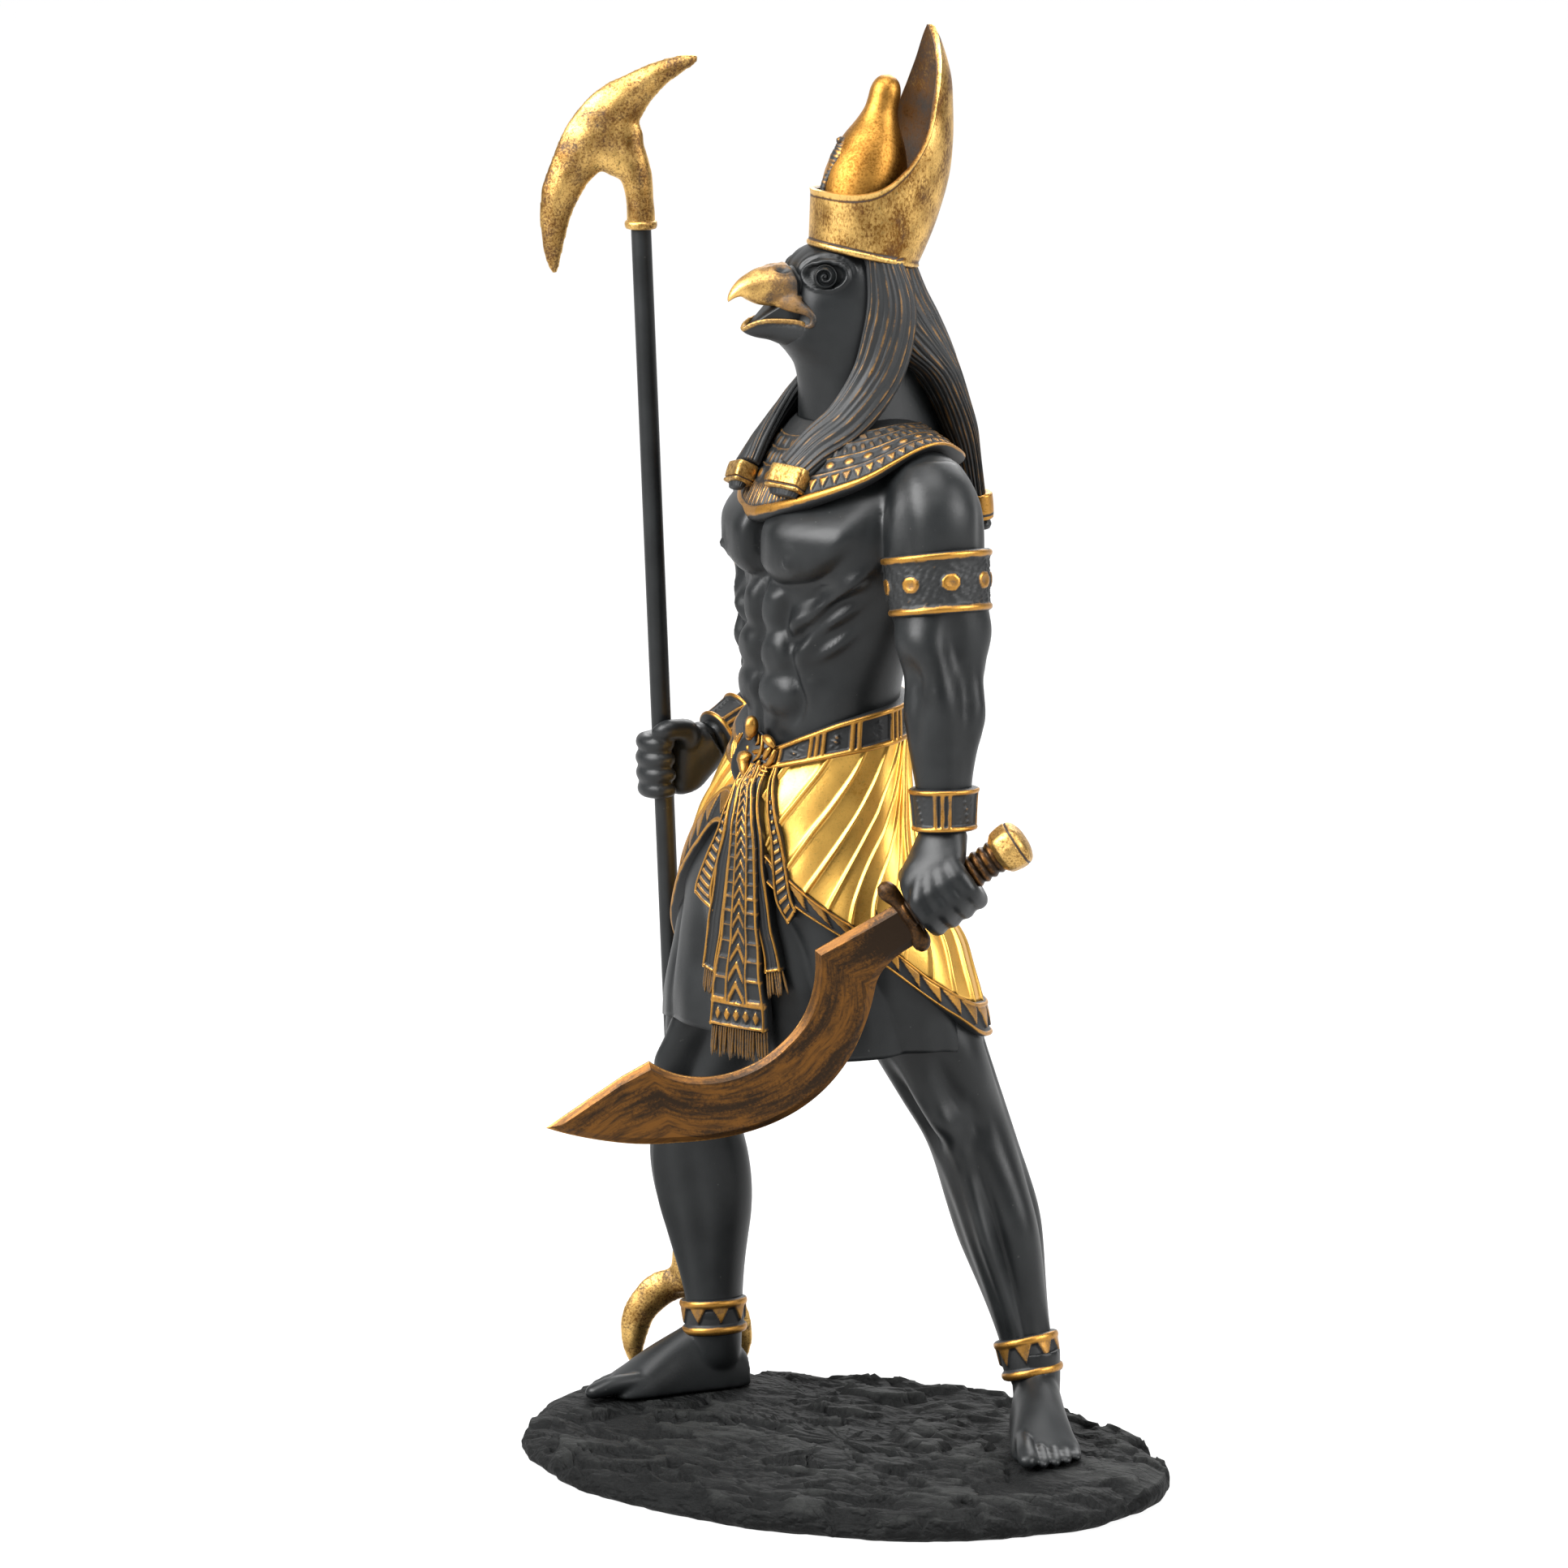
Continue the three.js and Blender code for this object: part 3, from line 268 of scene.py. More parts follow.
def addBundle(name, grids, finish, ahead, low, high):
    # many closed shapes in one piece: raised runs from low at their backs to high where they face ahead,
    # a painted highlight in front and painted shade behind
    raised = []
    for grid in grids:
        out = (grid - grid.mean(1, keepdims=True)) @ ahead
        toward = out / np.abs(out).max(1, keepdims=True)
        raised.append(np.append((low + high) / 2 + (high - low) / 2 * toward, [low, low]))
    return addPiece(name, *joined(grids), finish, {"raised": np.concatenate(raised)})


def fuse(name, grids, voxel, rounds, finish, carve=None):
    # closed shapes that run into each other, remeshed as
    # one skin, softened, and moved out by carve's lift
    points, faces = joined(grids)
    rough = bpy.data.meshes.new(name)
    rough.from_pydata(world(points).tolist(), [], faces)
    body = bpy.data.objects.new(name + "Rough", rough)
    bpy.context.scene.collection.objects.link(body)
    remesh = body.modifiers.new("fuse", "REMESH")
    remesh.mode, remesh.voxel_size = "VOXEL", voxel * mm
    soften = body.modifiers.new("soften", "SMOOTH")
    soften.factor, soften.iterations = 0.5, rounds
    seen = body.evaluated_get(bpy.context.evaluated_depsgraph_get())
    made = bpy.data.meshes.new_from_object(seen)
    bpy.data.objects.remove(body)
    count = len(made.vertices)
    place, normal = np.zeros(count * 3), np.zeros(count * 3)
    made.vertices.foreach_get("co", place)
    made.vertices.foreach_get("normal", normal)
    place, normal = place.reshape(-1, 3), normal.reshape(-1, 3)
    marks = None
    if carve:
        lift, marks = carve((place - np.array([0, 0, soles])) / mm, normal)
        place = place + normal * (lift * mm)[:, None]
    polygons = [list(polygon.vertices) for polygon in made.polygons]
    bpy.data.meshes.remove(made)
    return addPiece(name, place, polygons, finish, marks, placed=True)


# Paint: node maths written as expressions
class Wire:
    # a socket in a sum: each operator adds one Math node
    def __init__(self, paint, socket):
        self.paint, self.socket = paint, socket

    def maths(self, operation, *others):
        inputs = dict(enumerate((self, *others)))
        return self.paint.node("ShaderNodeMath", {"operation": operation}, inputs)

    def __add__(self, other):
        return self.maths("ADD", other)

    def __mul__(self, other):
        return self.maths("MULTIPLY", other)

    def __sub__(self, other):
        return self.maths("SUBTRACT", other)

    def __rsub__(self, other):
        return (self * -1) + other

    __radd__, __rmul__ = __add__, __mul__

    def step(self, low, high):
        # 0 below low, 1 above high, eased between
        inputs = {"Value": self, "From Min": low, "From Max": high}
        return self.paint.node("ShaderNodeMapRange", {"interpolation_type": "SMOOTHSTEP"}, inputs)


class Paint:
    def __init__(self, name):
        self.material = bpy.data.materials.new(name)
        self.material.use_nodes = True
        self.tree = self.material.node_tree
        self.shader = self.tree.nodes["Principled BSDF"]
        self.place = self.node("ShaderNodeTexCoord", out="Object")

    def node(self, kind, settings=None, inputs=None, out=0):
        # any node: its settings, then its sockets' values or wires, and the wire of one of its outputs
        made = self.tree.nodes.new(kind)
        for key, value in (settings or {}).items():
            setattr(made, key, value)
        for key, value in (inputs or {}).items():
            self.feed(made.inputs[key], value)
        return Wire(self, made.outputs[out])

    def feed(self, socket, value):
        # a wire is linked, anything else is set
        if isinstance(value, Wire):
            self.tree.links.new(value.socket, socket)
        else:
            socket.default_value = value

    def stretched(self, scale):
        # the place, scaled along each axis
        return self.node("ShaderNodeMapping", inputs={"Vector": self.place, "Scale": scale})

    def noise(self, size, detail=4.0, rough=0.55, place=None):
        # cloud noise from 0 to 1, its lumps about size millimetres wide
        inputs = {"Vector": place or self.place, "Scale": 1 / (size * mm), "Detail": detail,
                  "Roughness": rough}
        return self.node("ShaderNodeTexNoise", inputs=inputs)

    def mark(self, name):
        # a value kept at the mesh's points
        return self.node("ShaderNodeAttribute", {"attribute_name": name}, out="Fac")

    def blend(self, factor, first, second):
        # the first colour where the factor is 0, the second where it is 1
        settings = {"data_type": "RGBA"}
        return self.node("ShaderNodeMix", settings, {0: factor, 6: first, 7: second}, out=2)

    def finish(self, sockets, height=None, bumpDistance=0.0, strength=0.0):
        # feeds the shader; a height becomes a bump of that many millimetres
        if height is not None:
            inputs = {"Height": height, "Distance": bumpDistance * mm, "Strength": strength}
            sockets = {**sockets, "Normal": self.node("ShaderNodeBump", inputs=inputs, out="Normal")}
        for key, value in sockets.items():
            self.feed(self.shader.inputs[key], value)
        return self.material


def tint(red, green, blue):
    # a colour as eyes read it, 0 to 255, made linear
    parts = np.array([red, green, blue]) / 255
    return (*np.where(parts > 0.04045, ((parts + 0.055) / 1.055) ** 2.4, parts / 12.92).tolist(), 1.0)


blackTint = {"deep": tint(14, 16, 17), "worn": tint(26, 28, 29), "dust": tint(74, 74, 72)}
goldTint = {
    "bright": tint(230, 188, 112), "foil": tint(234, 184, 92), "amber": tint(190, 130, 46),
    "warm": tint(184, 134, 62), "edge": tint(170, 124, 66), "bronze": tint(146, 110, 66),
    "brown": tint(106, 68, 24), "wash": tint(40, 28, 16), "soot": tint(40, 27, 14),
}
rockTint = {"crack": tint(8, 9, 9), "flake": tint(38, 39, 38), "cloud": tint(16, 17, 17)}


def blackSatin(name):
    # satin black, faintly cloudy, with pin-prick grain and a few pale specks of dust
    paint = Paint(name)
    cloud = paint.noise(14, 3)
    grit = paint.noise(0.5, 3, 0.7)
    speck = paint.noise(1.1, 2, 0.5).step(0.74, 0.78)
    colour = paint.blend(cloud.step(0.35, 0.7), blackTint["deep"], blackTint["worn"])
    colour = paint.blend(speck * 0.35, colour, blackTint["dust"])
    roughness = 0.42 + (cloud - 0.5) * 0.14 + (grit - 0.5) * 0.1
    sockets = {"Base Color": colour, "Roughness": roughness, "Specular IOR Level": 0.34}
    return paint.finish(sockets, grit + paint.noise(3, 3) * 0.8, 0.05, 0.35)


def gilded(name, bright, dark, edge, rough, wear, streak=None, shine=0.0):
    # gold where the mark "raised" with some noise passes
    # the edge, the dark below it, and worn patches of wash
    paint = Paint(name)
    place = paint.stretched(streak) if streak else paint.place
    patch = paint.noise(2.6, 5, 0.65, place)
    grit = paint.noise(0.5, 4, 0.7, place)
    height = paint.mark("raised")
    gold = (height + (patch - 0.5) * (0.5 * wear) + (grit - 0.5) * (0.35 * wear)).step(*edge)
    broad = paint.noise(9, 3, 0.5, place)
    lit = height * 0.7 + grit * 0.75 + broad * 0.4 + shine
    colour = paint.blend(lit.step(0.92, 1.28), goldTint[bright[1]], goldTint[bright[0]])
    colour = paint.blend((grit * 0.7 + patch * 0.5 - 0.1).step(0.52, 0.7) * (0.62 * wear), colour,
                         goldTint["wash"])
    colour = paint.blend(gold, dark, colour)
    roughness = paint.blend(gold, (0.55, 0.55, 0.55, 1), (rough, rough, rough, 1))
    sockets = {"Base Color": colour, "Metallic": gold, "Roughness": roughness}
    return paint.finish(sockets, grit * 0.8 + patch, 0.09, 0.45)


def antiqued(name):
    # dark brown bronze brushed along the mark "runs", sooty in places, gold where "raised" is high
    paint = Paint(name)
    axes = {"X": paint.mark("runs") * (mm * 0.16), "Y": paint.mark("across") * mm}
    brushed = paint.node("ShaderNodeCombineXYZ", inputs=axes)
    stroke, patch = paint.noise(0.9, 4, 0.6, brushed), paint.noise(5, 4, 0.6, brushed)
    grit = paint.noise(0.6, 4, 0.7)
    height = paint.mark("raised")
    colour = paint.blend((stroke * 0.7 + patch * 0.4).step(0.42, 0.72), goldTint["brown"],
                         goldTint["wash"])
    colour = paint.blend((patch + (grit - 0.5) * 0.5 - height * 0.3).step(0.3, 0.55), colour,
                         goldTint["soot"])
    edge = (height + (stroke - 0.5) * 0.5 + (grit - 0.5) * 0.4).step(0.72, 0.98)
    colour = paint.blend(edge, colour, goldTint["edge"])
    sockets = {"Base Color": colour, "Metallic": 0.75 + edge * 0.25,
               "Roughness": 0.42 + (grit - 0.5) * 0.16}
    return paint.finish(sockets, grit * 0.6 + stroke, 0.07, 0.45)


def rockPaint(name):
    # charcoal stone: grey on its raised flakes, black in its cracks
    paint = Paint(name)
    cloud = paint.noise(6, 5, 0.65)
    grit = paint.noise(0.7, 5, 0.7)
    inputs = {"Vector": paint.place, "Scale": 1 / (5 * mm), "Detail": 3.0}
    push = paint.node("ShaderNodeTexNoise", inputs=inputs, out="Color")
    inputs = {0: push, 1: (2.5 * mm, 2.5 * mm, 2.5 * mm), 2: paint.stretched((1, 2.2, 1.6))}
    bent = paint.node("ShaderNodeVectorMath", {"operation": "MULTIPLY_ADD"}, inputs)
    inputs = {"Vector": bent, "Scale": 1 / (6.5 * mm), "Detail": 2.0, "Roughness": 0.6, "Randomness": 1.0}
    chips = paint.node("ShaderNodeTexVoronoi", {"feature": "F1"}, inputs, out="Distance")
    high = paint.mark("raised") + (grit - 0.5) * 0.5 + (0.4 - chips) * 0.5
    colour = paint.blend(high.step(0.1, 1), rockTint["crack"], rockTint["flake"])
    colour = paint.blend(cloud.step(0.45, 0.75) * 0.5, colour, rockTint["cloud"])
    sockets = {"Base Color": colour, "Roughness": 0.58 + grit * 0.2, "Specular IOR Level": 0.16}
    return paint.finish(sockets, grit * 0.25 + cloud * 0.6 - chips * 1.1, 1.3, 0.75)


black, wash = blackTint["deep"], goldTint["wash"]
finishes = {  # the material and the name of its slot in the record
    "black": (blackSatin("satinBlack"), "black_satin"),
    "hair": (gilded("rubbedHair", ("bronze", "brown"), black, (0.8, 1.3), 0.46, 1.3), "black_satin"),
    "kilt": (gilded("leafGold", ("foil", "amber"), wash, (0.12, 0.42), 0.4, 0.45, shine=0.2),
             "worn_gold"),
    "leaf": (gilded("smoothGold", ("warm", "brown"), wash, (0.05, 0.3), 0.46, 0.6), "worn_gold"),
    "trim": (gilded("reliefGold", ("warm", "bronze"), black, (0.4, 0.74), 0.4, 1), "worn_gold"),
    "crown": (gilded("brushedGold", ("bright", "brown"), wash, (0.2, 0.78), 0.42, 1.35, (1, 1, 0.6)),
              "worn_gold"),
    "staff": (gilded("paleGold", ("bright", "brown"), wash, (0.3, 0.86), 0.42, 1.5), "worn_gold"),
    "beak": (gilded("beakGold", ("bright", "bronze"), black, (0.26, 0.8), 0.46, 1.4), "worn_gold"),
    "sword": (antiqued("antiqueGold"), "antique_gold"),
    "rock": (rockPaint("charcoalRock"), "dark_rock"),
}
print("paints ready")


# Facings and joints of the body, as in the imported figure: x, y and height above the soles
chestFacing, hipFacing, headFacing = -28, -36, -43
shoulderBack = 0.16
up = np.array([0, 0, 1.0])
chestAhead, chestLeft = frontOf(chestFacing), leftOf(chestFacing)
headAhead, headLeft = frontOf(headFacing), leftOf(headFacing)
headCentre, chestCentre = np.array([-8, 17.2, 0]), np.array([-8, 19, 0])


def onHead(forward, side, z):
    # a place by its distance ahead of and beside the head's middle, and its height
    return headCentre + headAhead * forward + headLeft * side + up * z


def onChest(forward, side, z):
    # forward, side and z may be arrays; the right side is drawn back with the shoulder
    forward, side, z = np.broadcast_arrays(forward, side, z)
    pulled = forward - np.maximum(-side, 0) * shoulderBack
    wide = np.where(side > 0, side, side * 0.94)
    return chestCentre + chestAhead * pulled[..., None] + chestLeft * wide[..., None] + up * z[..., None]


# Torso and arms
torso = {
    "stations": [
        [140, -11.4, 18.2, hipFacing, 19.6, 14.4, 13], [152, -11.6, 17.9, hipFacing, 19.8, 15.2, 13],
        [160, -11.2, 18, -34, 20.4, 15.8, 13.6], [170, -10, 18.2, -31, 23, 17.2, 15.4],
        [180, -8.8, 18.4, -29, 26.6, 18.6, 17.4], [190, -8, 18.6, chestFacing, 28.6, 19.6, 18.4],
        [199, -8, 19, chestFacing, 28, 16.2, 17], [206, -8, 19.6, chestFacing, 20, 12, 13.4],
        [211, -8, 20, chestFacing, 12.4, 8.6, 10.5],
    ],
    "middle": -3,                    # degrees of the breastbone from the chest's facing
    "breastEdge": [[0, 181], [9, 179.4], [24, 179.8], [35, 181.3], [46, 185.5], [55, 190]],
    "bellyEdge": [[146, 28], [152, 38], [156, 40], [160, 33], [165, 28], [171, 20], [178, 19]],
    "blocks": [  # degrees from the middle, height, half width, half height, slope, lift
        (10, 173.4, 9, 4.4, 0, 1.3), (15.5, 164, 12.4, 4.2, 0, 1.5), (19, 155.6, 16, 4.1, -0.02, 1.5),
    ],
    "muscles": [
        (12, 147.6, 18, 4, 0, 0.4), (29, 171.8, 6.5, 2.6, 0.24, 1.6), (40, 174.4, 6.5, 2.1, 0.4, 1.4),
        (36, 165, 9, 4, 0.16, 1.7), (42, 157.8, 10, 3.4, 0.05, 0.9), (49, 179.8, 11, 2, 0.36, 1.3),
        (51, 173, 10, 2.1, 0.3, 1.3), (54, 166.8, 10, 2.2, 0.26, 1.2), (33, 168.4, 5, 1.5, 0.3, -1),
        (38, 178.6, 6, 1.4, 0.2, -0.7), (64, 156, 22, 7, 0, 1), (84, 182, 20, 16, 0, 1),
        (104, 172, 20, 16, 0, 0.5), (146, 190, 24, 10, -0.1, 1.4), (150, 176, 18, 7, -0.2, 0.8),
        (166, 156, 10, 16, 0, 1)
    ],
    "shoulders": [((16.2, 6.8, 198), 9.1), ((-28.6, 33.4, 195.6), 8.8)],
    "nipples": (184.8, (21, -28)),   # height, and degrees from the facing
    "navel": (155.2, -2),
    "sides": 220,
    "rows": 150,
    "voxel": 0.88,
    "softenRounds": 2,
    "muscleRelief": 1.3,
}
arms = {
    "left": {
        "line": [[15.5, 7.5, 203], [17.6, 5.4, 197], [20.6, 3, 180], [23.2, 0.6, 160], [23.6, -1, 148],
                 [24.6, -2.4, 131.5]],
        "size": [[0, 7, 7], [0.12, 9.6, 9.8], [0.3, 9, 9.6], [0.42, 8.2, 8.8], [0.58, 6.9, 7.2],
                 [0.7, 7.1, 7.6], [0.9, 5.4, 5.6], [1, 4.7, 5.2]],
        "outer": -90,
    },
    "right": {
        "line": [[-27.5, 32.5, 200], [-30.2, 35.5, 195], [-34, 44.1, 173], [-36.5, 50.6, 149],
                 [-42, 43, 142], [-46.5, 34.5, 137.5]],
        "size": [[0, 7, 7], [0.12, 9.6, 9.8], [0.3, 8.8, 9.4], [0.45, 8, 8.4], [0.6, 6.2, 6.4],
                 [0.72, 6, 6.2], [0.9, 4.4, 4.6], [1, 3.9, 4.1]],
        "outer": 90,
    },
}


def torsoCarving(a, z):
    # the broad masses, as shares of the section: breasts, shoulder blades and the hollow of the spine
    d, z = np.degrees(a)[None, :], z[:, None]
    m = np.abs(d)
    breast = 0.12 * rise(m, 1, 15) * fall(m, 46, 72) * rise(z, 176.5, 182) * fall(z, 188, 204)
    spine = -0.1 * bump(m - 180, 9) * bump(z - 168, 28)
    return 1 + breast + spine


def muscleLift(points):
    # relief of the trunk in millimetres, from each point's
    # degrees round and height; none beyond its own skin
    z = points[:, 2]
    x, y, facing, wide, front, back = along(torso["stations"], z).T
    out = points[:, :2] - np.stack([x, y], -1)
    across = (out * leftOf(facing)[:, :2]).sum(-1)
    ahead = (out * frontOf(facing)[:, :2]).sum(-1) + np.maximum(-across, 0) * drawnBack(z)[:, 0]
    a = np.arctan2(across / wide, ahead / np.where(ahead > 0, front, back))
    reach = np.hypot(across / wide, ahead / np.where(ahead > 0, front, back))
    m = np.abs(np.degrees(a) - torso["middle"])
    m = np.minimum(m, 360 - m)
    edge = z - along(torso["breastEdge"], m)
    breast = rise(edge, -0.8, 4.5) * fall(z, 189, 198) * rise(m, 0.5, 7) * fall(m, 44, 56)
    under = bump(edge + 1, 1) * fall(m, 38, 50)
    middle = bump(m, 3) * rise(z, 142, 147) * fall(z, 190, 198)
    flank = bump(m - along(torso["bellyEdge"], z), 4) * rise(z, 148, 153) * fall(z, 173, 178)
    lift = lumps(m, z, torso["muscles"]) + lumps(m, z, torso["blocks"], 2)
    lift = lift + 1.7 * breast - 0.7 * under - 1 * middle - 0.8 * flank
    return lift * fall(reach, 1.16, 1.3) * fall(z, 200, 205)


# as lumps: degrees from the front to the outer side, hundredths of the length, half sizes, slope, lift
armMuscles = [
    (75, 12, 60, 12, 0, 1), (20, 17, 12, 10, 0.1, -0.7), (122, 18, 12, 9, -0.1, -0.6),
    (78, 27, 20, 5, 0, -0.7), (8, 49, 44, 7.5, 0, 2), (-42, 46, 24, 9, 0, 0.6),
    (70, 49, 14, 8, 0.06, -1.5), (142, 47, 36, 8.5, 0, 1.6), (46, 60, 26, 10, 0.12, 1.9),
    (90, 64, 12, 10, 0.1, -1.2), (122, 66, 26, 12, 0, 1.3), (168, 56, 18, 3.4, 0, 1.2),
    (-45, 63, 36, 11, 0, 1.2), (6, 56, 24, 4.5, 0, -1.1), (4, 68, 10, 13, 0, -0.7),
    (64, 84, 14, 10, 0, 0.5), (104, 84, 9, 10, 0, -0.4)
]


def armCarving(outer):
    # muscles of the shoulder, upper arm and forearm, by
    # share of length and degrees, as shares of the section
    def shape(t, a):
        d = (np.degrees(a) * np.sign(outer) + 190) % 360 - 190
        return 1 + (lumps(d, t * 100, armMuscles) + lumps(d - 360, t * 100, armMuscles)) / 7.5
    return shape


def drawnBack(z):
    # how far the right side is drawn back, as a share of its distance from the middle
    return (shoulderBack * rise(z, 165, 185))[:, None]


def trunkAt(a, z):
    # the trunk's skin at angles a and heights z
    return levels(torso["stations"], z, a, torsoCarving(a, z), drawnBack(z))


def makeTorso():
    # the trunk, both arms and a ball in each shoulder
    # fused, with muscles, nipples and navel carved on them
    z = np.concatenate([[139], np.linspace(141, 209, torso["rows"])])
    grids = [trunkAt(turns(torso["sides"]), z)]
    for arm in arms.values():
        grids.append(tube(arm["line"], arm["size"], 150, 72, chestAhead, armCarving(arm["outer"])))
    for place, size in torso["shoulders"]:
        grids.append(blob(place, (chestLeft, chestAhead, up), (size, size, size)))

    def skinAt(z, angle):
        # one point of the trunk's skin
        return trunkAt(np.radians([angle]), np.array([z]))[0, 0]

    height, angles = torso["nipples"]
    nipples = [skinAt(height, angle) for angle in angles]
    navel = skinAt(*torso["navel"])

    def carve(points, normals):
        # muscles, a nipple's tip and ring, and the navel's pit and rim
        lift = ripple(points, 16, 3) * 0.12 + muscleLift(points) * torso["muscleRelief"]
        for centre in nipples:
            far = np.linalg.norm(points - centre, axis=1)
            lift += 1.1 * bump(far, 1.05) + 0.25 * bump(far - 2.3, 0.7)
        far = np.linalg.norm((points - navel) * [1, 1, 0.7], axis=1)
        lift += -1.3 * bump(far, 1) + 0.35 * bump(far - 1.9, 0.7)
        return lift, None

    piece = fuse("torso", grids, torso["voxel"], torso["softenRounds"], "black", carve)
    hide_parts("falcon_figure")


makeTorso()
print("torso and arms made")


# Head: skull and neck in level rings, the face carved on them
head = {
    "stations": [
        [200, -8, 19.5, headFacing, 14.5, 9, 21], [210, -8, 18, headFacing, 12, 8.8, 20.5],
        [219, -8, 17.2, headFacing, 10.6, 8.8, 17.5], [222.5, -8, 17.2, headFacing, 10.4, 9.6, 15.5],
        [225, -8, 17.2, headFacing, 10.5, 11.4, 14.4], [228, -8, 17.2, headFacing, 10.6, 14, 13.6],
        [230, -8, 17.2, headFacing, 10.8, 13.2, 13], [233, -8, 17.2, headFacing, 11, 11.6, 13],
        [240, -8, 17.2, headFacing, 10.8, 11.2, 13], [244, -7.8, 17.4, headFacing, 9.8, 10.6, 12],
        [248, -6.4, 18.4, headFacing, 7, 7, 10],
    ],
    "eye": (7.4, 9.4, 241.6),        # forward, side and height of the eye's middle
    "eyeRadius": 2.4,
    "lidLength": 4.6,
    "lidHeight": 2.85,
    "rows": 110,
    "sides": 184,
}


def eyeFrame(hand):
    # the eye's middle, its outward direction and its two directions in the lid's plane
    forward, side, z = head["eye"]
    out = unitOf(headLeft * hand + headAhead * 0.42 + up * 0.05)
    level = unitOf(np.cross(up, out)) * hand
    return onHead(forward, side * hand, z), out, level, np.cross(out, level) * hand


def makeHead():
    # brow, eye socket, cheek, jaw and throat swell or sink
    # the rings; each eye's lids are rings round its middle
    z = np.concatenate([[200], np.linspace(201, 248.4, head["rows"])])
    a = turns(head["sides"])
    d, h = np.abs(np.degrees(a))[None, :], z[:, None]
    brow = 0.07 * bump(d - 44 + (h - 244.5) * 2, 16) * bump(h - 244.6 + (d - 40) * 0.03, 1.4)
    socket = -0.05 * bump(d - 52, 16) * bump(h - 241, 3)
    cheek = 0.09 * bump(d - 36, 20) * bump(h - 234, 5.5)
    jaw = -0.04 * bump(d - 52, 12) * bump(h - 228.5, 2)
    throat = 0.03 * bump(d, 30) * bump(h - 222, 4)
    grid = levels(head["stations"], z, a, 1 + brow + socket + cheek + jaw + throat)
    normal = unitOf(grid - levels(head["stations"], z, a, 0.6))
    lift = np.zeros(grid.shape[:2])
    for hand in (1, -1):
        centre, out, level, rest = eyeFrame(hand)
        away = grid - centre
        u, w = away @ level, away @ rest
        near = (np.sum(away * out, -1) > -6) & (np.abs(u) < 9)
        rim = np.hypot(u / head["lidLength"], (w - 0.06 * u * u * 0.3) / head["lidHeight"])
        lids = 0.6 * bump(rim - 1, 0.085) - 0.9 * fall(rim, 0.78, 0.97)
        fold = 0.5 * bump(np.hypot((u - 0.5) / 5.8, (w - 0.5) / 4.2) - 1, 0.1) * rise(w, -0.4, 1.6)
        crease = -0.3 * bump(np.hypot((u - 0.4) / 5.1, (w - 0.4) / 3.5) - 1, 0.06) * rise(w, -0.6, 1.2)
        lift += np.where(near, lids + fold + crease, 0)
    grid = grid + normal * lift[..., None]
    addLoft("headSkin", grid, "black")
    for hand, label in ((1, "Left"), (-1, "Right")):
        makeEye(hand, "eye" + label)


def makeEye(hand, name):
    # a low ball whose face is cut in a spiral round a raised pupil
    centre, out, level, rest = eyeFrame(hand)
    r = np.linspace(0.02, 1, 46)[:, None]
    a = turns(84)[None, :]
    spiral = np.cos(2 * np.pi * (r * 1.9) - a * hand)
    lift = (1.6 * dome(r * 0.8) + 0.42 * spiral * rise(r, 0.08, 0.2) * fall(r, 0.86, 0.98)
            + 0.3 * bump(r, 0.12))
    reach = r * head["eyeRadius"] * np.ones_like(a)
    face = centre + out * (lift - 1.5)[..., None]
    face = face + level * (reach * np.cos(a))[..., None] + rest * (reach * np.sin(a))[..., None]
    rear = face[-1:] - out * 2.2
    addLoft(name, np.concatenate([face, rear]), "black")


# Beak: both halves by share from the face to the tip
beak = {
    "upper": [  # forward, height of the ridge, height of the lower margin, half width
        [6, 244.6, 233.4, 5.8], [9.4, 244.2, 233.6, 5.6], [12, 243.7, 234, 5.1],
        [15.2, 243.4, 234.9, 4.4],
        [18.5, 242.8, 235.4, 3.6], [20.6, 241.8, 236.3, 2.9], [22.2, 240.8, 237.2, 2.2],
        [23.8, 239.2, 236.8, 1.3],
        [24.8, 237.4, 236.1, 0.6], [25, 236.3, 235.9, 0.25],
    ],
    "lower": [
        [6, 233, 226.4, 9.2], [10, 232.6, 226.4, 7.4], [13, 232.5, 226.8, 5.7], [16, 232.4, 228, 4],
        [19, 232.1, 228.7, 2.5], [20.8, 231.4, 229.4, 1.4], [22, 230.6, 230.2, 0.3]
    ],
    "jawRim": [(21.9, 0.3, 230.5), (20.8, 1.5, 231.4), (19.2, 2.4, 232.1), (17.6, 3.2, 232.4),
               (15.5, 4.2, 232.5), (13.3, 5.2, 232.4), (11.7, 6.1, 232.2), (10.6, 6.7, 231.8)],
    "jawRimSize": [[0, 0.3, 0.3], [0.2, 0.42, 0.42], [0.8, 0.46, 0.46], [1, 0.4, 0.4]],
    "voxel": 0.34,
    "gape": [(16.4, 1.6, 237), (14.4, 3.4, 236.4), (12.8, 4.9, 235.9), (11.5, 6.1, 235.1),
             (10.2, 7.1, 234.3), (9.1, 7.7, 233), (9.6, 7.6, 231.6), (11, 6.9, 231.3)],
    "gapeSize": [[0, 1, 0.6], [0.2, 1.8, 1.2], [0.38, 1.8, 1.1], [0.55, 1.2, 0.9], [0.7, 0.85, 0.75],
                 [0.86, 0.7, 0.7], [1, 0.3, 0.3]],
}


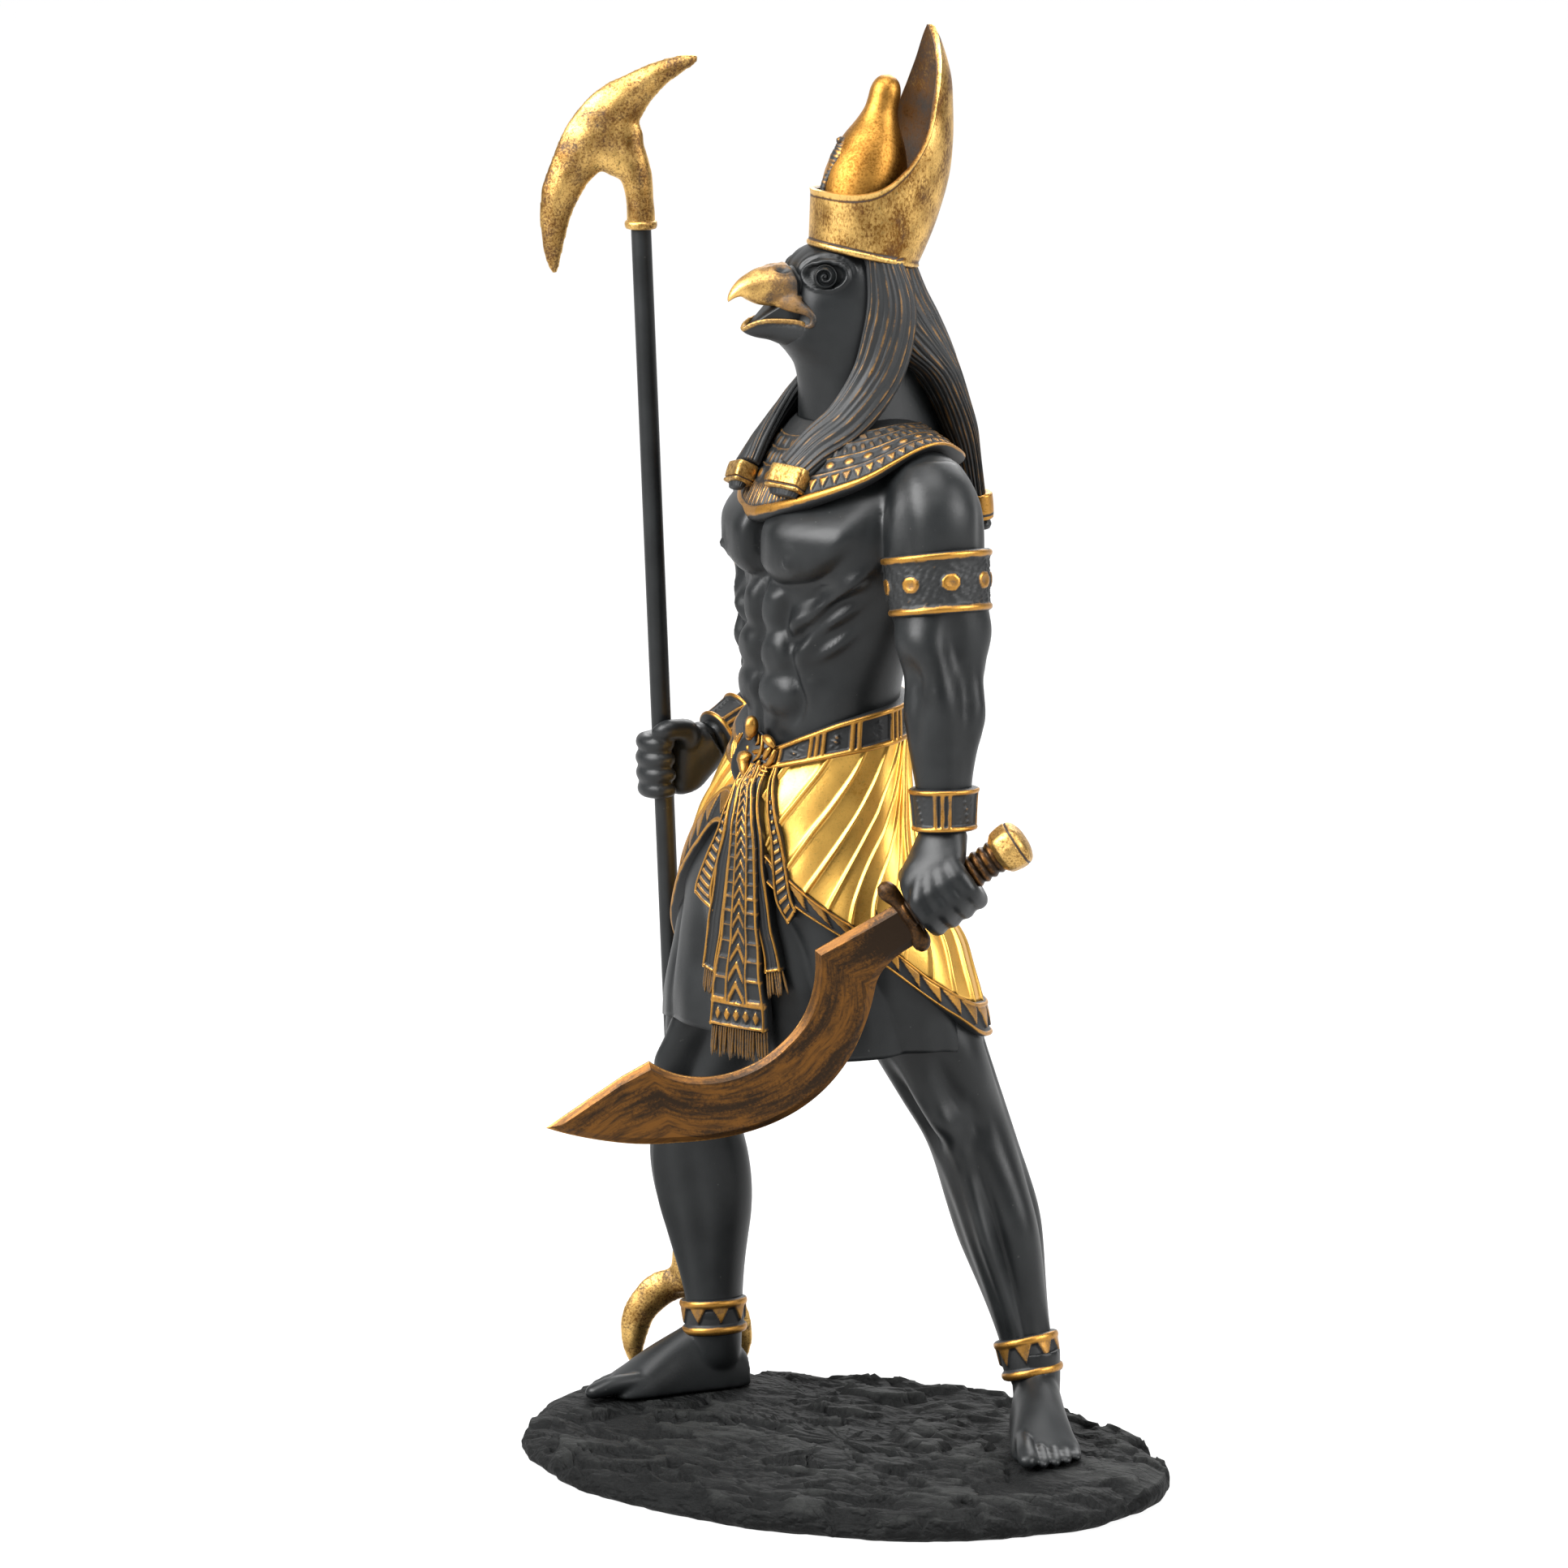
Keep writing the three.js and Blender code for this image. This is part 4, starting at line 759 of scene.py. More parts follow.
def beakHalf(stations, count, sides, keel):
    # sections across the beak; a keel above 0 sharpens the
    # ridge, one below 0 flattens the top of the lower half
    f = np.linspace(stations[0][0], stations[-1][0], count)
    top, low, wide = along(stations, f).T
    a = turns(sides)[None, :]
    middle, half = (top + low) / 2, (top - low) / 2
    tall = np.cos(a) if keel > 0 else np.where(np.cos(a) > 0, np.abs(np.cos(a)) ** 0.4, np.cos(a))
    z = middle[:, None] + half[:, None] * tall
    bow = np.abs(np.cos(a)) ** 3
    ridge = 1 - keel * bow * np.sign(np.cos(a)) if keel > 0 else 1 + keel * bow
    across = np.sign(np.sin(a)) * np.abs(np.sin(a)) ** 0.8 * wide[:, None] * ridge
    spot = headCentre + headAhead * f[:, None, None] + headLeft * across[..., None]
    return spot + up * z[..., None], f[:, None], a


def makeBeak():
    # each half fused with a tube along its rim; the upper
    # is cut by its nostrils and by the edge of the cere
    upper, _, _ = beakHalf(beak["upper"], 84, 72, 0.35)
    grids = [upper]
    for hand in (1, -1):
        line = [onHead(f, s * hand, z) for f, s, z in beak["gape"]]
        grids.append(tube(line, beak["gapeSize"], 50, 20, headLeft * hand))

    def carve(points, normals):
        # a sunk slit with a rim for the nostril; behind the cere's edge the skin drops and turns black
        away = points - headCentre
        f, side, z = away @ headAhead, np.abs(away @ headLeft), points[:, 2]
        nostril = np.hypot((f - 14.2) / 1.3, (z - 242.5 - (f - 14.2) * 0.1) / 0.5)
        cere = f - 11.7 - 0.25 * np.maximum(z - 240.5, 0) + 9 * fall(z, 235.8, 237.6)
        lift = (0.25 * bump(nostril - 1.5, 0.35) - 0.75 * bump(nostril, 0.8)) * (side > 1)
        lift = lift + 0.2 * bump(cere - 0.5, 0.6) - 0.9 * fall(cere, -0.7, 0.1)
        raised = 0.62 + (f - 17) * 0.03 - 0.8 * bump(nostril, 0.7) - fall(cere, -0.4, 0.1)
        return lift, {"raised": np.clip(raised + ripple(points, 3, 14) * 0.1, 0, 1)}

    fuse("beakUpper", grids, beak["voxel"], 4, "beak", carve)
    lower, f, a = beakHalf(beak["lower"], 56, 52, -0.15)
    lower = lower - up * (1.1 * fall(np.abs(a), 0.5, 1.1) * fall(f, 19.5, 21.5))[..., None]
    rims = []
    for hand in (1, -1):
        line = [onHead(f, s * hand, z) for f, s, z in beak["jawRim"]]
        rims.append(tube(line, beak["jawRimSize"], 50, 12, headLeft * hand))
    edge = np.concatenate([rim.mean(1) for rim in rims])

    def rubRim(points, normals):
        # gold within a millimetre of the rims' middle lines
        far = np.linalg.norm(points[:, None] - edge, axis=-1).min(1)
        return 0 * far, {"raised": 0.1 + 0.56 * fall(far, 0.45, 0.9)}

    fuse("beakLower", [lower, *rims], beak["voxel"], 2, "beak", rubRim)


def makeMouth():
    # a dark wedge between the halves, its front leaning back as it rises
    z = np.linspace(230.6, 236, 24)[:, None]
    f = 7 + (18.9 - (z - 232.3) * 1.35 - 7) * np.linspace(0, 1, 30)
    half = np.clip((21.7 - f) * 0.6, 0, 5)
    spot = headCentre + headAhead * np.hstack([f, f[:, ::-1]])[..., None]
    spot = spot + headLeft * np.hstack([half, -half[:, ::-1]])[..., None] + up * z[..., None]
    addLoft("mouth", spot, "black")


makeHead()
makeBeak()
makeMouth()
print("head made")


# Wig: a back mass of strands, and two lappets of strands that end in square gold caps
wig = {
    "stations": [
        [189, 14.3, 36, headFacing, 3.4, 2.4, 1.6], [197, 13.2, 35.1, headFacing, 4.4, 3, 1.8],
        [204, 11.8, 33.9, headFacing, 6.6, 3.6, 2.4], [209, 10.4, 32.8, headFacing, 8.4, 4.4, 3.4],
        [215, 8, 31.4, headFacing, 10.2, 4.6, 4.4], [221, 5.4, 29.6, headFacing, 11.4, 6, 5.8],
        [226, 2, 27, headFacing, 12.2, 9.4, 8.6], [232, -2, 23.6, headFacing, 12.8, 9, 11.4],
        [238, -4.4, 21, headFacing, 12.6, 6.4, 11.8], [247, -4.8, 20.6, headFacing, 10.4, 7.2, 8.8],
    ],
    "strands": 30,
    "cut": 0.6,
    "rows": 98,
    "sides": 244,
    "tip": [[14.8, 36.4, 187], [14.5, 36.2, 189], [14, 35.7, 194.6]],
    "tipSize": [[0, 2.6, 1.6], [0.1, 3.3, 2], [0.26, 3.2, 2], [0.3, 3.9, 2.7], [0.94, 4.4, 3],
                [1, 4.1, 2.6]],
}
lappet = {
    "line": [(-4.5, 10.6, 246), (-6.2, 11.6, 236), (-5.4, 12, 229), (-2.6, 12.4, 221)],
    "chest": {1: [(8.4, 12, 212.6), (14.6, 9.6, 207.4), (18.8, 7.6, 202.6)],
              -1: [(8, -12.6, 212.6), (14.4, -12.4, 206.8), (18.6, -12, 201.6)]},
    "size": [[0, 3.6, 1.5], [0.25, 5.4, 2.2], [0.6, 4.9, 2], [1, 4.3, 1.8]],
    "strands": 7,
    "rows": 130,
    "sides": 124,
    "caps": {  # top middle as forward, side and height on the chest, and the directions across and down
        1: [(18.6, 7.6, 203), (-0.15, 0.97, -0.15), (2.6, 0.4, -4.4)],
        -1: [(19.2, -12, 201.4), (0.07, 0.97, 0.05), (2, 0.6, -3.8)],
    },
    "capHalf": {1: 4.4, -1: 3.1},
}


def strandProfile(phase, fine):
    # rounded strands with a finer line cut down each: returns the lift share and how raised it is
    bent = phase + 0.17 * np.sin(phase * 22 * np.pi / 30)
    main = np.abs(np.cos(np.pi * bent)) ** 0.6
    sub = 0.2 * np.abs(np.cos(np.pi * bent * fine)) ** 0.6
    return main * 0.85 + sub, main ** 4


def makeWig():
    # strands run down the rings, wandering a little with height; the mass ends in a cap
    z = np.linspace(188.6, 247, wig["rows"])
    a = turns(wig["sides"])
    grid = levels(wig["stations"], z, a)
    phase = a[None, :] / (2 * np.pi) * wig["strands"] + 0.25 * np.sin(z[:, None] * 0.09 + 3 * a[None, :])
    lift, raised = strandProfile(phase, 3)
    outwards = unitOf(grid - levels(wig["stations"], z, a, 0.5))
    grid = grid + outwards * ((lift - 0.6) * wig["cut"])[..., None]
    raised = raised * rise(z[:, None], 189, 193) + ripple(grid, 5, 11) * 0.16
    addLoft("wigBack", grid, "hair", {"raised": raised})
    rows, sides = 60, 48
    cap = tube(wig["tip"], wig["tipSize"], rows, sides, headAhead)
    t = np.linspace(0, 1, rows)[:, None] * np.ones((1, sides))
    raised = 0.9 - 0.9 * bump(t - 0.42, 0.03) - 0.9 * fall(t, 0.26, 0.3)
    addLoft("wigTip", cap, "trim", {"raised": raised})
    for hand, label in ((1, "Left"), (-1, "Right")):
        makeLappet(hand, label)


def makeLappet(hand, label):
    # a flat tube of strands from the temple to the chest, then a squared cap and a short tuft below it
    line = [onHead(f, s * hand, z) for f, s, z in lappet["line"]]
    line += [onChest(*place) for place in lappet["chest"][hand]]
    sideways = headLeft * hand
    start, across, down = (np.array(part) for part in lappet["caps"][hand])
    steps = ((1, across), (-1, across), (1, down), (0, down))
    way = [onChest(*(start + step * part)) for step, part in steps]
    width, downward = unitOf(way[0] - way[1]), unitOf(way[2] - way[3])
    onward = unitOf(np.cross(downward, width))
    onward = onward * np.sign(onward @ chestAhead)

    def facing(t):
        # sideways at the temple, turning onward down the chest
        share = (t ** 1.5)[:, None]
        return unitOf(sideways * (1 - share) + onward * share)

    def phase(t, a):
        # which strand: evenly spaced across the front, wandering a little
        return np.sin(a) * lappet["strands"] / 2 + 0.1 * np.sin(7 * t + 2 * a)

    def shape(t, a):
        # the strands' lift, none at the two sharp sides
        lift, _ = strandProfile(phase(t, a), 2)
        return 1 + 0.17 * (lift - 0.6) * (np.abs(np.sin(a)) < 0.97)

    rows, sides = lappet["rows"], lappet["sides"]
    grid = tube(line, lappet["size"], rows, sides, facing, shape)
    a, t = turns(sides)[None, :], np.linspace(0, 1, rows)[:, None]
    _, raised = strandProfile(phase(t, a), 2)
    raised = raised * (np.cos(a) > -0.2) + ripple(grid, 5, 13) * 0.16
    addLoft("lappet" + label, grid, "hair", {"raised": raised})
    half, tall = lappet["capHalf"][hand], np.linalg.norm(way[2] - way[3])
    top = onChest(*start) + onward * 0.2
    size = [[0, half * 0.9, 1.6], [0.03, half, 2.3], [0.76, half, 2.3], [0.79, half * 0.97, 2],
            [0.84, half * 0.97, 2], [0.87, half, 2.3], [0.97, half, 2.2], [1, half * 0.9, 1.6]]

    def square(t, a):
        # a superellipse of power six
        return 1 / (np.abs(np.sin(a)) ** 6 + np.abs(np.cos(a)) ** 6) ** (1 / 6)

    rows, sides = 46, 56
    cap = tube([top, top + downward * tall / 2, top + downward * tall], size, rows, sides, onward, square)
    t = np.linspace(0, 1, rows)[:, None] * np.ones((1, sides))
    addLoft("lappetCap" + label, cap, "crown", {"raised": 0.76 - 0.8 * bump(t - 0.815, 0.025)}, crease=40)
    tuft = tube([top + downward * tall, top + downward * (tall + 1)],
                [[0, half * 0.85, 1.5], [1, half * 0.75, 1.1]], 20, 60,
                onward, lambda t, a: 1 + 0.06 * np.cos(a * 22))
    addLoft("lappetTuft" + label, tuft, "hair", {"raised": np.zeros(tuft.shape[:2])})


makeWig()
print("wig made")


# Crown: a drum whose wall climbs behind into a curved
# spike, the tall bulb inside it and the cobra in front
crown = {
    "tilt": 13.5,
    "foot": (-4.5, 19.3, 244.2),
    "drumRadius": 11.2,
    "drumFlare": 0.2,
    "wall": 1.3,
    "rim": [[0, 11.3], [45, 11.9], [70, 13.8], [86, 17.3], [97, 22.2], [103, 27.5], [109, 34], [115, 40],
            [132, 46.2], [155, 48.6], [180, 48.9]],
    "wallRows": [  # height, depth behind, middle and half width of the drum's back
        [5, 12.4, 0, 11.7], [11, 13.4, 0, 12.2], [20, 13.9, 0.3, 12.5], [27.5, 12.9, 1.5, 11.8],
        [34, 11.5, 1.4, 10], [40, 9.7, 1.4, 8.3], [46.5, 6.2, 0.4, 5], [49.3, 4, -0.5, 1.6],
    ],
    "sides": 156,
    "bulbForward": 2.9,
    "bulb": [[5, 8.4], [15, 8.6], [19.5, 7.8], [23.5, 6.4], [27, 4.6], [29.8, 3.5], [32, 3.25],
             [34, 3.15], [35.8, 2.55], [36.9, 1.5], [37.35, 0.2]],
    "cobra": [(11.3, 0, 9.5), (11.5, 0, 13), (10.9, 0, 16), (10.4, 0, 18.6), (9.6, 0, 20.6),
              (9.9, 0, 22.2), (10.9, 0, 22)],
    "cobraSize": [[0, 0.9, 0.8], [0.3, 1, 0.7], [0.5, 1.5, 0.8], [0.7, 2.1, 1.1], [0.85, 1.5, 1.3],
                  [1, 0.5, 0.5]],
    "cobraScales": 95,
}
crownTilt = math.radians(crown["tilt"])
crownUp = up * math.cos(crownTilt) - headAhead * math.sin(crownTilt)
crownAhead = headAhead * math.cos(crownTilt) + up * math.sin(crownTilt)


def onCrown(forward, side, lift):
    # a place by its distance ahead of, beside and above the crown's foot, along the crown's own tilt
    forward, side, lift = np.broadcast_arrays(forward, side, lift)
    spot = np.array(crown["foot"]) + crownAhead * forward[..., None] + headLeft * side[..., None]
    return spot + crownUp * lift[..., None]


def crownPoint(a, height, wall):
    # the front is a flared round, the back follows the wall's rows; both drawn in by wall
    stations = [[0, crown["drumRadius"], 0, crown["drumRadius"]], *crown["wallRows"]]
    back, middle, wide = np.moveaxis(along(stations, height), -1, 0)
    behind = np.abs(a) > np.pi / 2
    depth = np.where(behind, back - middle, crown["drumRadius"] + crown["drumFlare"] * height)
    forward = np.cos(a) * (depth - wall) - np.where(behind, middle, 0)
    return onCrown(forward, np.sin(a) * (wide - np.minimum(wall, wide * 0.7)), height)


def makeDrum():
    # up the outside to the rim, over a lip and down the
    # inside, with a bead round the foot and along the rim
    a = turns(crown["sides"])[None, :]
    top = along(crown["rim"], np.degrees(np.abs(a)))
    outer = np.linspace(0, 1, 72)[:, None]
    inner = np.linspace(1, 0, 30)[:, None]
    height = np.vstack([outer * top, inner * (top - 4) + 4])
    rows = len(outer)
    wall = np.where(np.arange(len(height)) < rows, 0, crown["wall"])[:, None] + 0 * height
    outside = height[:rows]
    below = top - outside
    bead = dome((outside - 0.7) / 0.6)
    wall[:rows] -= 0.42 * bead + 0.2 * bump(below, 0.6)
    grid = crownPoint(np.broadcast_to(a, height.shape), height, wall)
    lip = (grid[rows - 1:rows] + grid[rows:rows + 1]) / 2 + crownUp * 0.25
    grid = np.concatenate([grid[:rows], lip, grid[rows:]])
    raised = 0.74 + ripple(grid, 7, 21) * 0.12
    raised[:rows] += 0.25 * bump(below, 0.9) + 0.2 * bead
    raised[:rows] -= 0.8 * bump(outside - 1.5, 0.18) + 0.5 * bump(outside + 0.1, 0.2)
    raised[:rows] -= 0.5 * bump(below - 1.3, 0.2)
    # the inside darkens towards the drum's floor: painted shade
    raised[rows + 1:] = 0.42 + ripple(grid[rows + 1:], 5, 22) * 0.1 - 0.3 * fall(height[rows:], 8, 20)
    addLoft("crownDrum", grid, "crown", {"raised": raised}, crease=60)


def makeBulb():
    # rounds whose radius follows the bulb's rows by height, with painted shade at its foot, down inside
    # the drum
    lift = np.linspace(crown["bulb"][0][0], crown["bulb"][-1][0], 64)
    radius = along(crown["bulb"], lift)
    turn = turns(64)
    forward = crown["bulbForward"] + np.cos(turn)[None, :] * radius[:, None]
    grid = onCrown(forward, np.sin(turn)[None, :] * radius[:, None], lift[:, None])
    raised = 0.8 - 0.7 * fall(lift, 8, 12.5)[:, None] * np.ones((1, 64)) + ripple(grid, 9, 23) * 0.08
    addLoft("crownBulb", grid, "leaf", {"raised": raised})


def makeCobra():
    # a tube that swells into a hood, with scales across its front
    def scales(t, b):
        return np.cos(t * crown["cobraScales"]) * (np.cos(b) > 0.2)

    rows, sides = 90, 40
    line = [onCrown(*place) for place in crown["cobra"]]
    grid = tube(line, crown["cobraSize"], rows, sides, crownAhead, lambda t, b: 1 + 0.03 * scales(t, b))
    raised = 0.52 + 0.12 * scales(np.linspace(0, 1, rows)[:, None], turns(sides)[None, :])
    addLoft("cobra", grid, "trim", {"raised": raised + ripple(grid, 3, 24) * 0.3})


makeDrum()
makeBulb()
makeCobra()
print("crown made")


# Collar: rows of ornament on a broad ring laid over chest, shoulders and back
collar = {
    "top": 211.5,
    "stations": [[0, 11, 9, 10], [0.45, 20, 15, 15], [0.86, 26.6, 20.4, 19.4], [1, 28.2, 21.9, 20.4]],
    "heights": [[-180, 197], [-130, 203], [-90, 206], [-50, 195], [-20, 190.8], [0, 191.4], [50, 199.6],
                [90, 207.4], [130, 203], [180, 197]],
    "triangles": 62,
    "rosettes": 34,
    "dashes": 64,
    "feathers": 150,
    "rows": 54,
    "sides": 528,
    "depth": 0.72,
}


def collarPoint(a, share, lift):
    # share 0 is the neck and 1 the outer edge; lift stands off the chest
    across, front, back = np.moveaxis(along(collar["stations"], np.minimum(share, 1)), -1, 0)
    drop = collar["top"] - along(collar["heights"], np.degrees(a))
    z = collar["top"] - drop * share ** 1.35 + lift * 0.75
    out = np.where(np.cos(a) > 0, front, back)
    grow = np.maximum(share, 1) + lift * 0.6 / 22
    return onChest(np.cos(a) * out * grow, np.sin(a) * across * grow, z)


def collarCarving(a, share):
    # from the edge inwards: bead, pointed leaves, line, discs in pairs of lines, dashes, line
    turn = (a / (2 * np.pi)) % 1
    front = fall(np.abs(np.degrees(a) + 4), 22, 27)
    bead = dome((share - 0.955) / 0.045)
    leafHeight = np.clip((share - 0.775) / 0.13, 0, 1)
    leaf = (rise(saw(turn * collar["triangles"]) - leafHeight * 0.95, 0, 0.16)
            * (share > 0.775) * (share < 0.905))
    feather = (rise(saw(turn * collar["feathers"] + share * 0.6), 0.42, 0.6)
               * (share > 0.76) * (share < 0.91))
    leaf = leaf * (1 - front) + feather * front
    lines = bump(share - 0.75, 0.014) + sum(bump(share - place, 0.012) for place in (0.6, 0.45, 0.3))
    across = (turn * collar["rosettes"]) % 1 - 0.5
    disc = dome(np.hypot(across / 0.3, (share - 0.676) / 0.052))
    dash = rise(saw(turn * collar["dashes"]), 0.45, 0.62) * dome((share - 0.525) / 0.06)
    inner = rise(saw(turn * collar["rosettes"] + 0.5), 0.4, 0.6) * dome((share - 0.375) / 0.06)
    return highest(bead * 1.25, leaf * 0.75, lines * 0.8, disc * 0.85, dash * 0.65, inner * 0.6)


def makeCollar():
    # the carving stands on a plate that thickens outwards, and a row at both edges runs in under it
    a = turns(collar["sides"])[None, :]
    share = np.linspace(0.08, 1, collar["rows"])[:, None]
    carving = collarCarving(a, share)
    lift = 0.9 + 0.25 * rise(share, 0.2, 0.8) + carving * collar["depth"]
    grid = collarPoint(np.broadcast_to(a, lift.shape), np.broadcast_to(share, lift.shape), lift)
    rim = collarPoint(a, np.full_like(a, 0.97), np.full_like(a, -1.2))
    start = collarPoint(a, np.full_like(a, 0.08), np.full_like(a, -1.2))
    grid = np.concatenate([start, grid, rim])
    raised = np.concatenate([0 * a, carving, 0 * a])
    addLoft("collar", grid, "trim", {"raised": raised * 0.9 + ripple(grid, 4, 31) * 0.1})


makeCollar()
print("collar made")


# Cuffs: bands worn on a limb, each with its own carving by millimetres round and share of height
cuff = {"rows": 32, "sides": 156, "depth": 0.7}


def worn(line, size, facing, middle, height, lift, carving):
    # a ring of the limb's own section pushed out by its lift
    # and carving; returns its grid and how raised it is
    path = route(line, 400)
    length = np.linalg.norm(np.diff(path, axis=0), axis=1).sum()
    v = np.linspace(-1, 1, cuff["rows"])
    t = middle + v * height / length / 2
    wide, deep = along(size, t).T
    spread = np.linspace(0, 1, len(path))
    centre, tangent = (np.stack([np.interp(t, spread, curve[:, k]) for k in range(3)], 1)
                       for curve in (path, unitOf(np.gradient(path, axis=0))))
    side = unitOf(np.cross(tangent, facing))
    front = unitOf(np.cross(side, tangent))
    a = turns(cuff["sides"])[None, :]
    carved = carving(v[:, None] * height / 2, a * (wide.mean() + deep.mean()) / 2)
    out = lift + carved * cuff["depth"]
    across = np.sin(a) * (wide[:, None] + out)
    depth = np.cos(a) * (deep[:, None] + out)
    grid = centre[:, None] + side[:, None] * across[..., None] + front[:, None] * depth[..., None]
    inner = [centre[k] + side[k] * (np.sin(a[0]) * (wide[k] - 1))[:, None]
             + front[k] * (np.cos(a[0]) * (deep[k] - 1))[:, None] for k in (0, -1)]
    grid = np.concatenate([inner[0][None], grid, inner[1][None]])
    return grid, endless(carved)


def endless(raised):
    # nothing is raised on the rows that are added at both ends
    return np.pad(raised, ((1, 1), (0, 0)))


def edges(v, half, bead):
    # a bead along both edges of a band
    return dome((np.abs(v) - half + bead) / bead) * 1.1


def discBand(half):
    # a row of coin-like discs on pitted ground between two broad beads
    def carving(v, s):
        far = np.hypot(((s / 7.4) % 1 - 0.5) * 7.4, v)
        disc = rise(1.95 - far, 0, 0.35) - 0.25 * fall(far, 0.4, 1.2)
        pits = 0.5 * rise(np.sin(s * 3.1 + 2 * np.sin(v * 1.7)) * np.sin(v * 3.7 + s * 0.9), -0.1, 0.5)
        inside = rise(half - 1.5 - np.abs(v), 0, 0.2)
        return highest(edges(v, half, 0.85), disc, (pits - 0.12) * inside)
    return carving


def panelBand(half, pitch):
    # sunk pitted panels between groups of three upright bars, in a frame of beads
    def carving(v, s):
        place = (s / pitch) % 1
        bars = highest(*(dome((place - c) / 0.048) for c in (0.37, 0.5, 0.63)))
        inside = rise(half - 0.9 - np.abs(v), 0, 0.2)
        grain = rise(np.sin(s * 2.3 + v * 1.9) * np.sin(v * 2.7 - s * 1.1), 0.35, 0.8)
        patch = 0.5 * grain * bump((place + 0.5) % 1 - 0.5, 0.12)
        return np.maximum(edges(v, half, 0.62), inside * np.maximum(bars * 0.85, patch))
    return carving


def pointBand(half, pitch):
    # points hanging from the upper bead over a pitted ground
    def carving(v, s):
        reach = (half - 1 - v) / (half * 1.15)
        points = rise(saw(s / pitch) - np.clip(reach, 0, 1), 0, 0.15) * (np.abs(v) < half - 0.9)
        return np.maximum(edges(v, half, 1), points * 0.8)
    return carving


def flipped(carving):
    # the same carving upside down, because a limb's line runs downwards
    return lambda v, s: carving(-v, s)


def makeCuffs():
    # each: its limb, facing, middle as a share of the limb, height, stand-off and carving
    left, right = arms["left"], arms["right"]
    bands = [
        ("armRingLeft", left, chestAhead, 0.315, 12.4, 1, discBand(6.2)),
        ("armRingRight", right, chestAhead, 0.33, 12.4, 1, discBand(6.2)),
        ("braceletLeft", left, chestAhead, 0.94, 8.8, 0.9, panelBand(4.4, 9.4)),
        ("braceletRight", right, chestAhead, 0.93, 8.4, 0.9, panelBand(4.2, 8.4)),
        ("ankletLeft", legs["left"], legs["left"]["facing"], 0.9, 8.6, 0.7, pointBand(4.3, 4.2)),
        ("ankletRight", legs["right"], legs["right"]["facing"], 0.905, 7.6, 0.5, pointBand(3.8, 4.2)),
    ]
    for name, limb, facing, middle, height, lift, carving in bands:
        grid, raised = worn(limb["line"], limb["size"], facing, middle, height, lift, flipped(carving))
        addLoft(name, grid, "trim", {"raised": raised * 0.9 + ripple(grid, 3, 41) * 0.12})


# Legs and feet
legs = {
    "left": {
        "line": [[1.5, 15.5, 112], [8.6, 17.8, 90], [18.6, 22.4, 63], [26.5, 24, 38], [35.2, 21.5, 9],
                 [35.4, 21.4, 5]],
        "size": [[0, 14, 14], [0.2, 12.6, 13.4], [0.36, 10.4, 10.6], [0.46, 8.8, 9.2], [0.58, 8.6, 9.4],
                 [0.68, 8.2, 9.4], [0.85, 5.6, 6.2], [0.94, 4.9, 5.6], [0.97, 3.6, 4.2], [1, 2, 2]],
        "facing": frontOf(20),
        "foot": ((31.6, 27.4), 31, -1),
    },
    "right": {
        "line": [[-21, 24.5, 112], [-33, 23.5, 88], [-44, 22.5, 60], [-42.4, 24.2, 36], [-39.8, 22.2, 9],
                 [-39.6, 22.2, 5]],
        "size": [[0, 14, 14], [0.2, 12.6, 13], [0.38, 10.2, 10.6], [0.48, 8.6, 9], [0.6, 8.8, 9.6],
                 [0.7, 8.4, 9], [0.86, 5.5, 6.2], [0.94, 5, 5.6], [0.97, 3.6, 4.2], [1, 2, 2]],
        "facing": frontOf(-45),
        "foot": ((-35.6, 28.4), -46.6, 1),
    },
}
foot = {
    "rows": [[0, 3.6, 6, 0], [3, 5, 10, 0], [9, 5.6, 15, 0.1], [15, 6, 12.4, 0.2], [22, 6.8, 8.6, 0.4],
             [26.4, 7.2, 5.4, 0.4], [28.8, 6.8, 3.6, 0.2], [30.2, 5.6, 2, 0]],
    "toes": [(5.1, 37.2, 2.1), (1.9, 36.4, 1.4), (-0.8, 35.2, 1.3), (-3.3, 33.6, 1.25),
             (-5.6, 31.6, 1.2)],
    "ankle": [[0, 5.2, 5.9], [0.5, 5, 5.7], [0.8, 4.4, 5], [1, 2.4, 3]],
    "voxel": 0.46,
}


# as lumps: degrees from the front to the outer side, hundredths of the length, half sizes, slope, lift
legMuscles = [
    (0, 24, 34, 12, 0, 0.5), (-16, 35.6, 21, 7, 0, 1.7), (-46, 36, 13, 7, 0, -1),
    (7, 36, 10, 7, 0, -0.9), (38, 34, 26, 9, 0, 1.3), (92, 34, 14, 16, 0, -1),
    (-10, 42.6, 19, 4, 0, 1.8), (24, 43.4, 13, 4.6, 0, -1), (-44, 44.5, 13, 4, 0, -0.8),
    (96, 46, 16, 9, 0, 0.8), (-8, 49.4, 16, 2.6, 0, 0.5), (-13, 68, 12, 20, 0, 1.4),
    (8, 69, 11, 18, 0.06, -1.3), (46, 66, 26, 15, 0.05, 1.3), (92, 67, 12, 14, 0, -0.8),
    (136, 63, 34, 12, 0, 1.3), (178, 71, 12, 12, 0, -0.9), (-128, 62, 36, 12, 0, 1.3),
    (-66, 66, 16, 15, 0, -0.6), (70, 90, 12, 6, 0, 0.7), (180, 88, 18, 8, 0, 0.6)
]


def legCarving(side):
    # muscles of the thigh, knee and calf, by share of length and degrees, as shares of the section
    def shape(t, a):
        d = (np.degrees(a) * -side + 190) % 360 - 190
        return 1 + sum(lumps(d + turn, t * 100, legMuscles) for turn in (-360, 0, 360)) / 6.6
    return shape


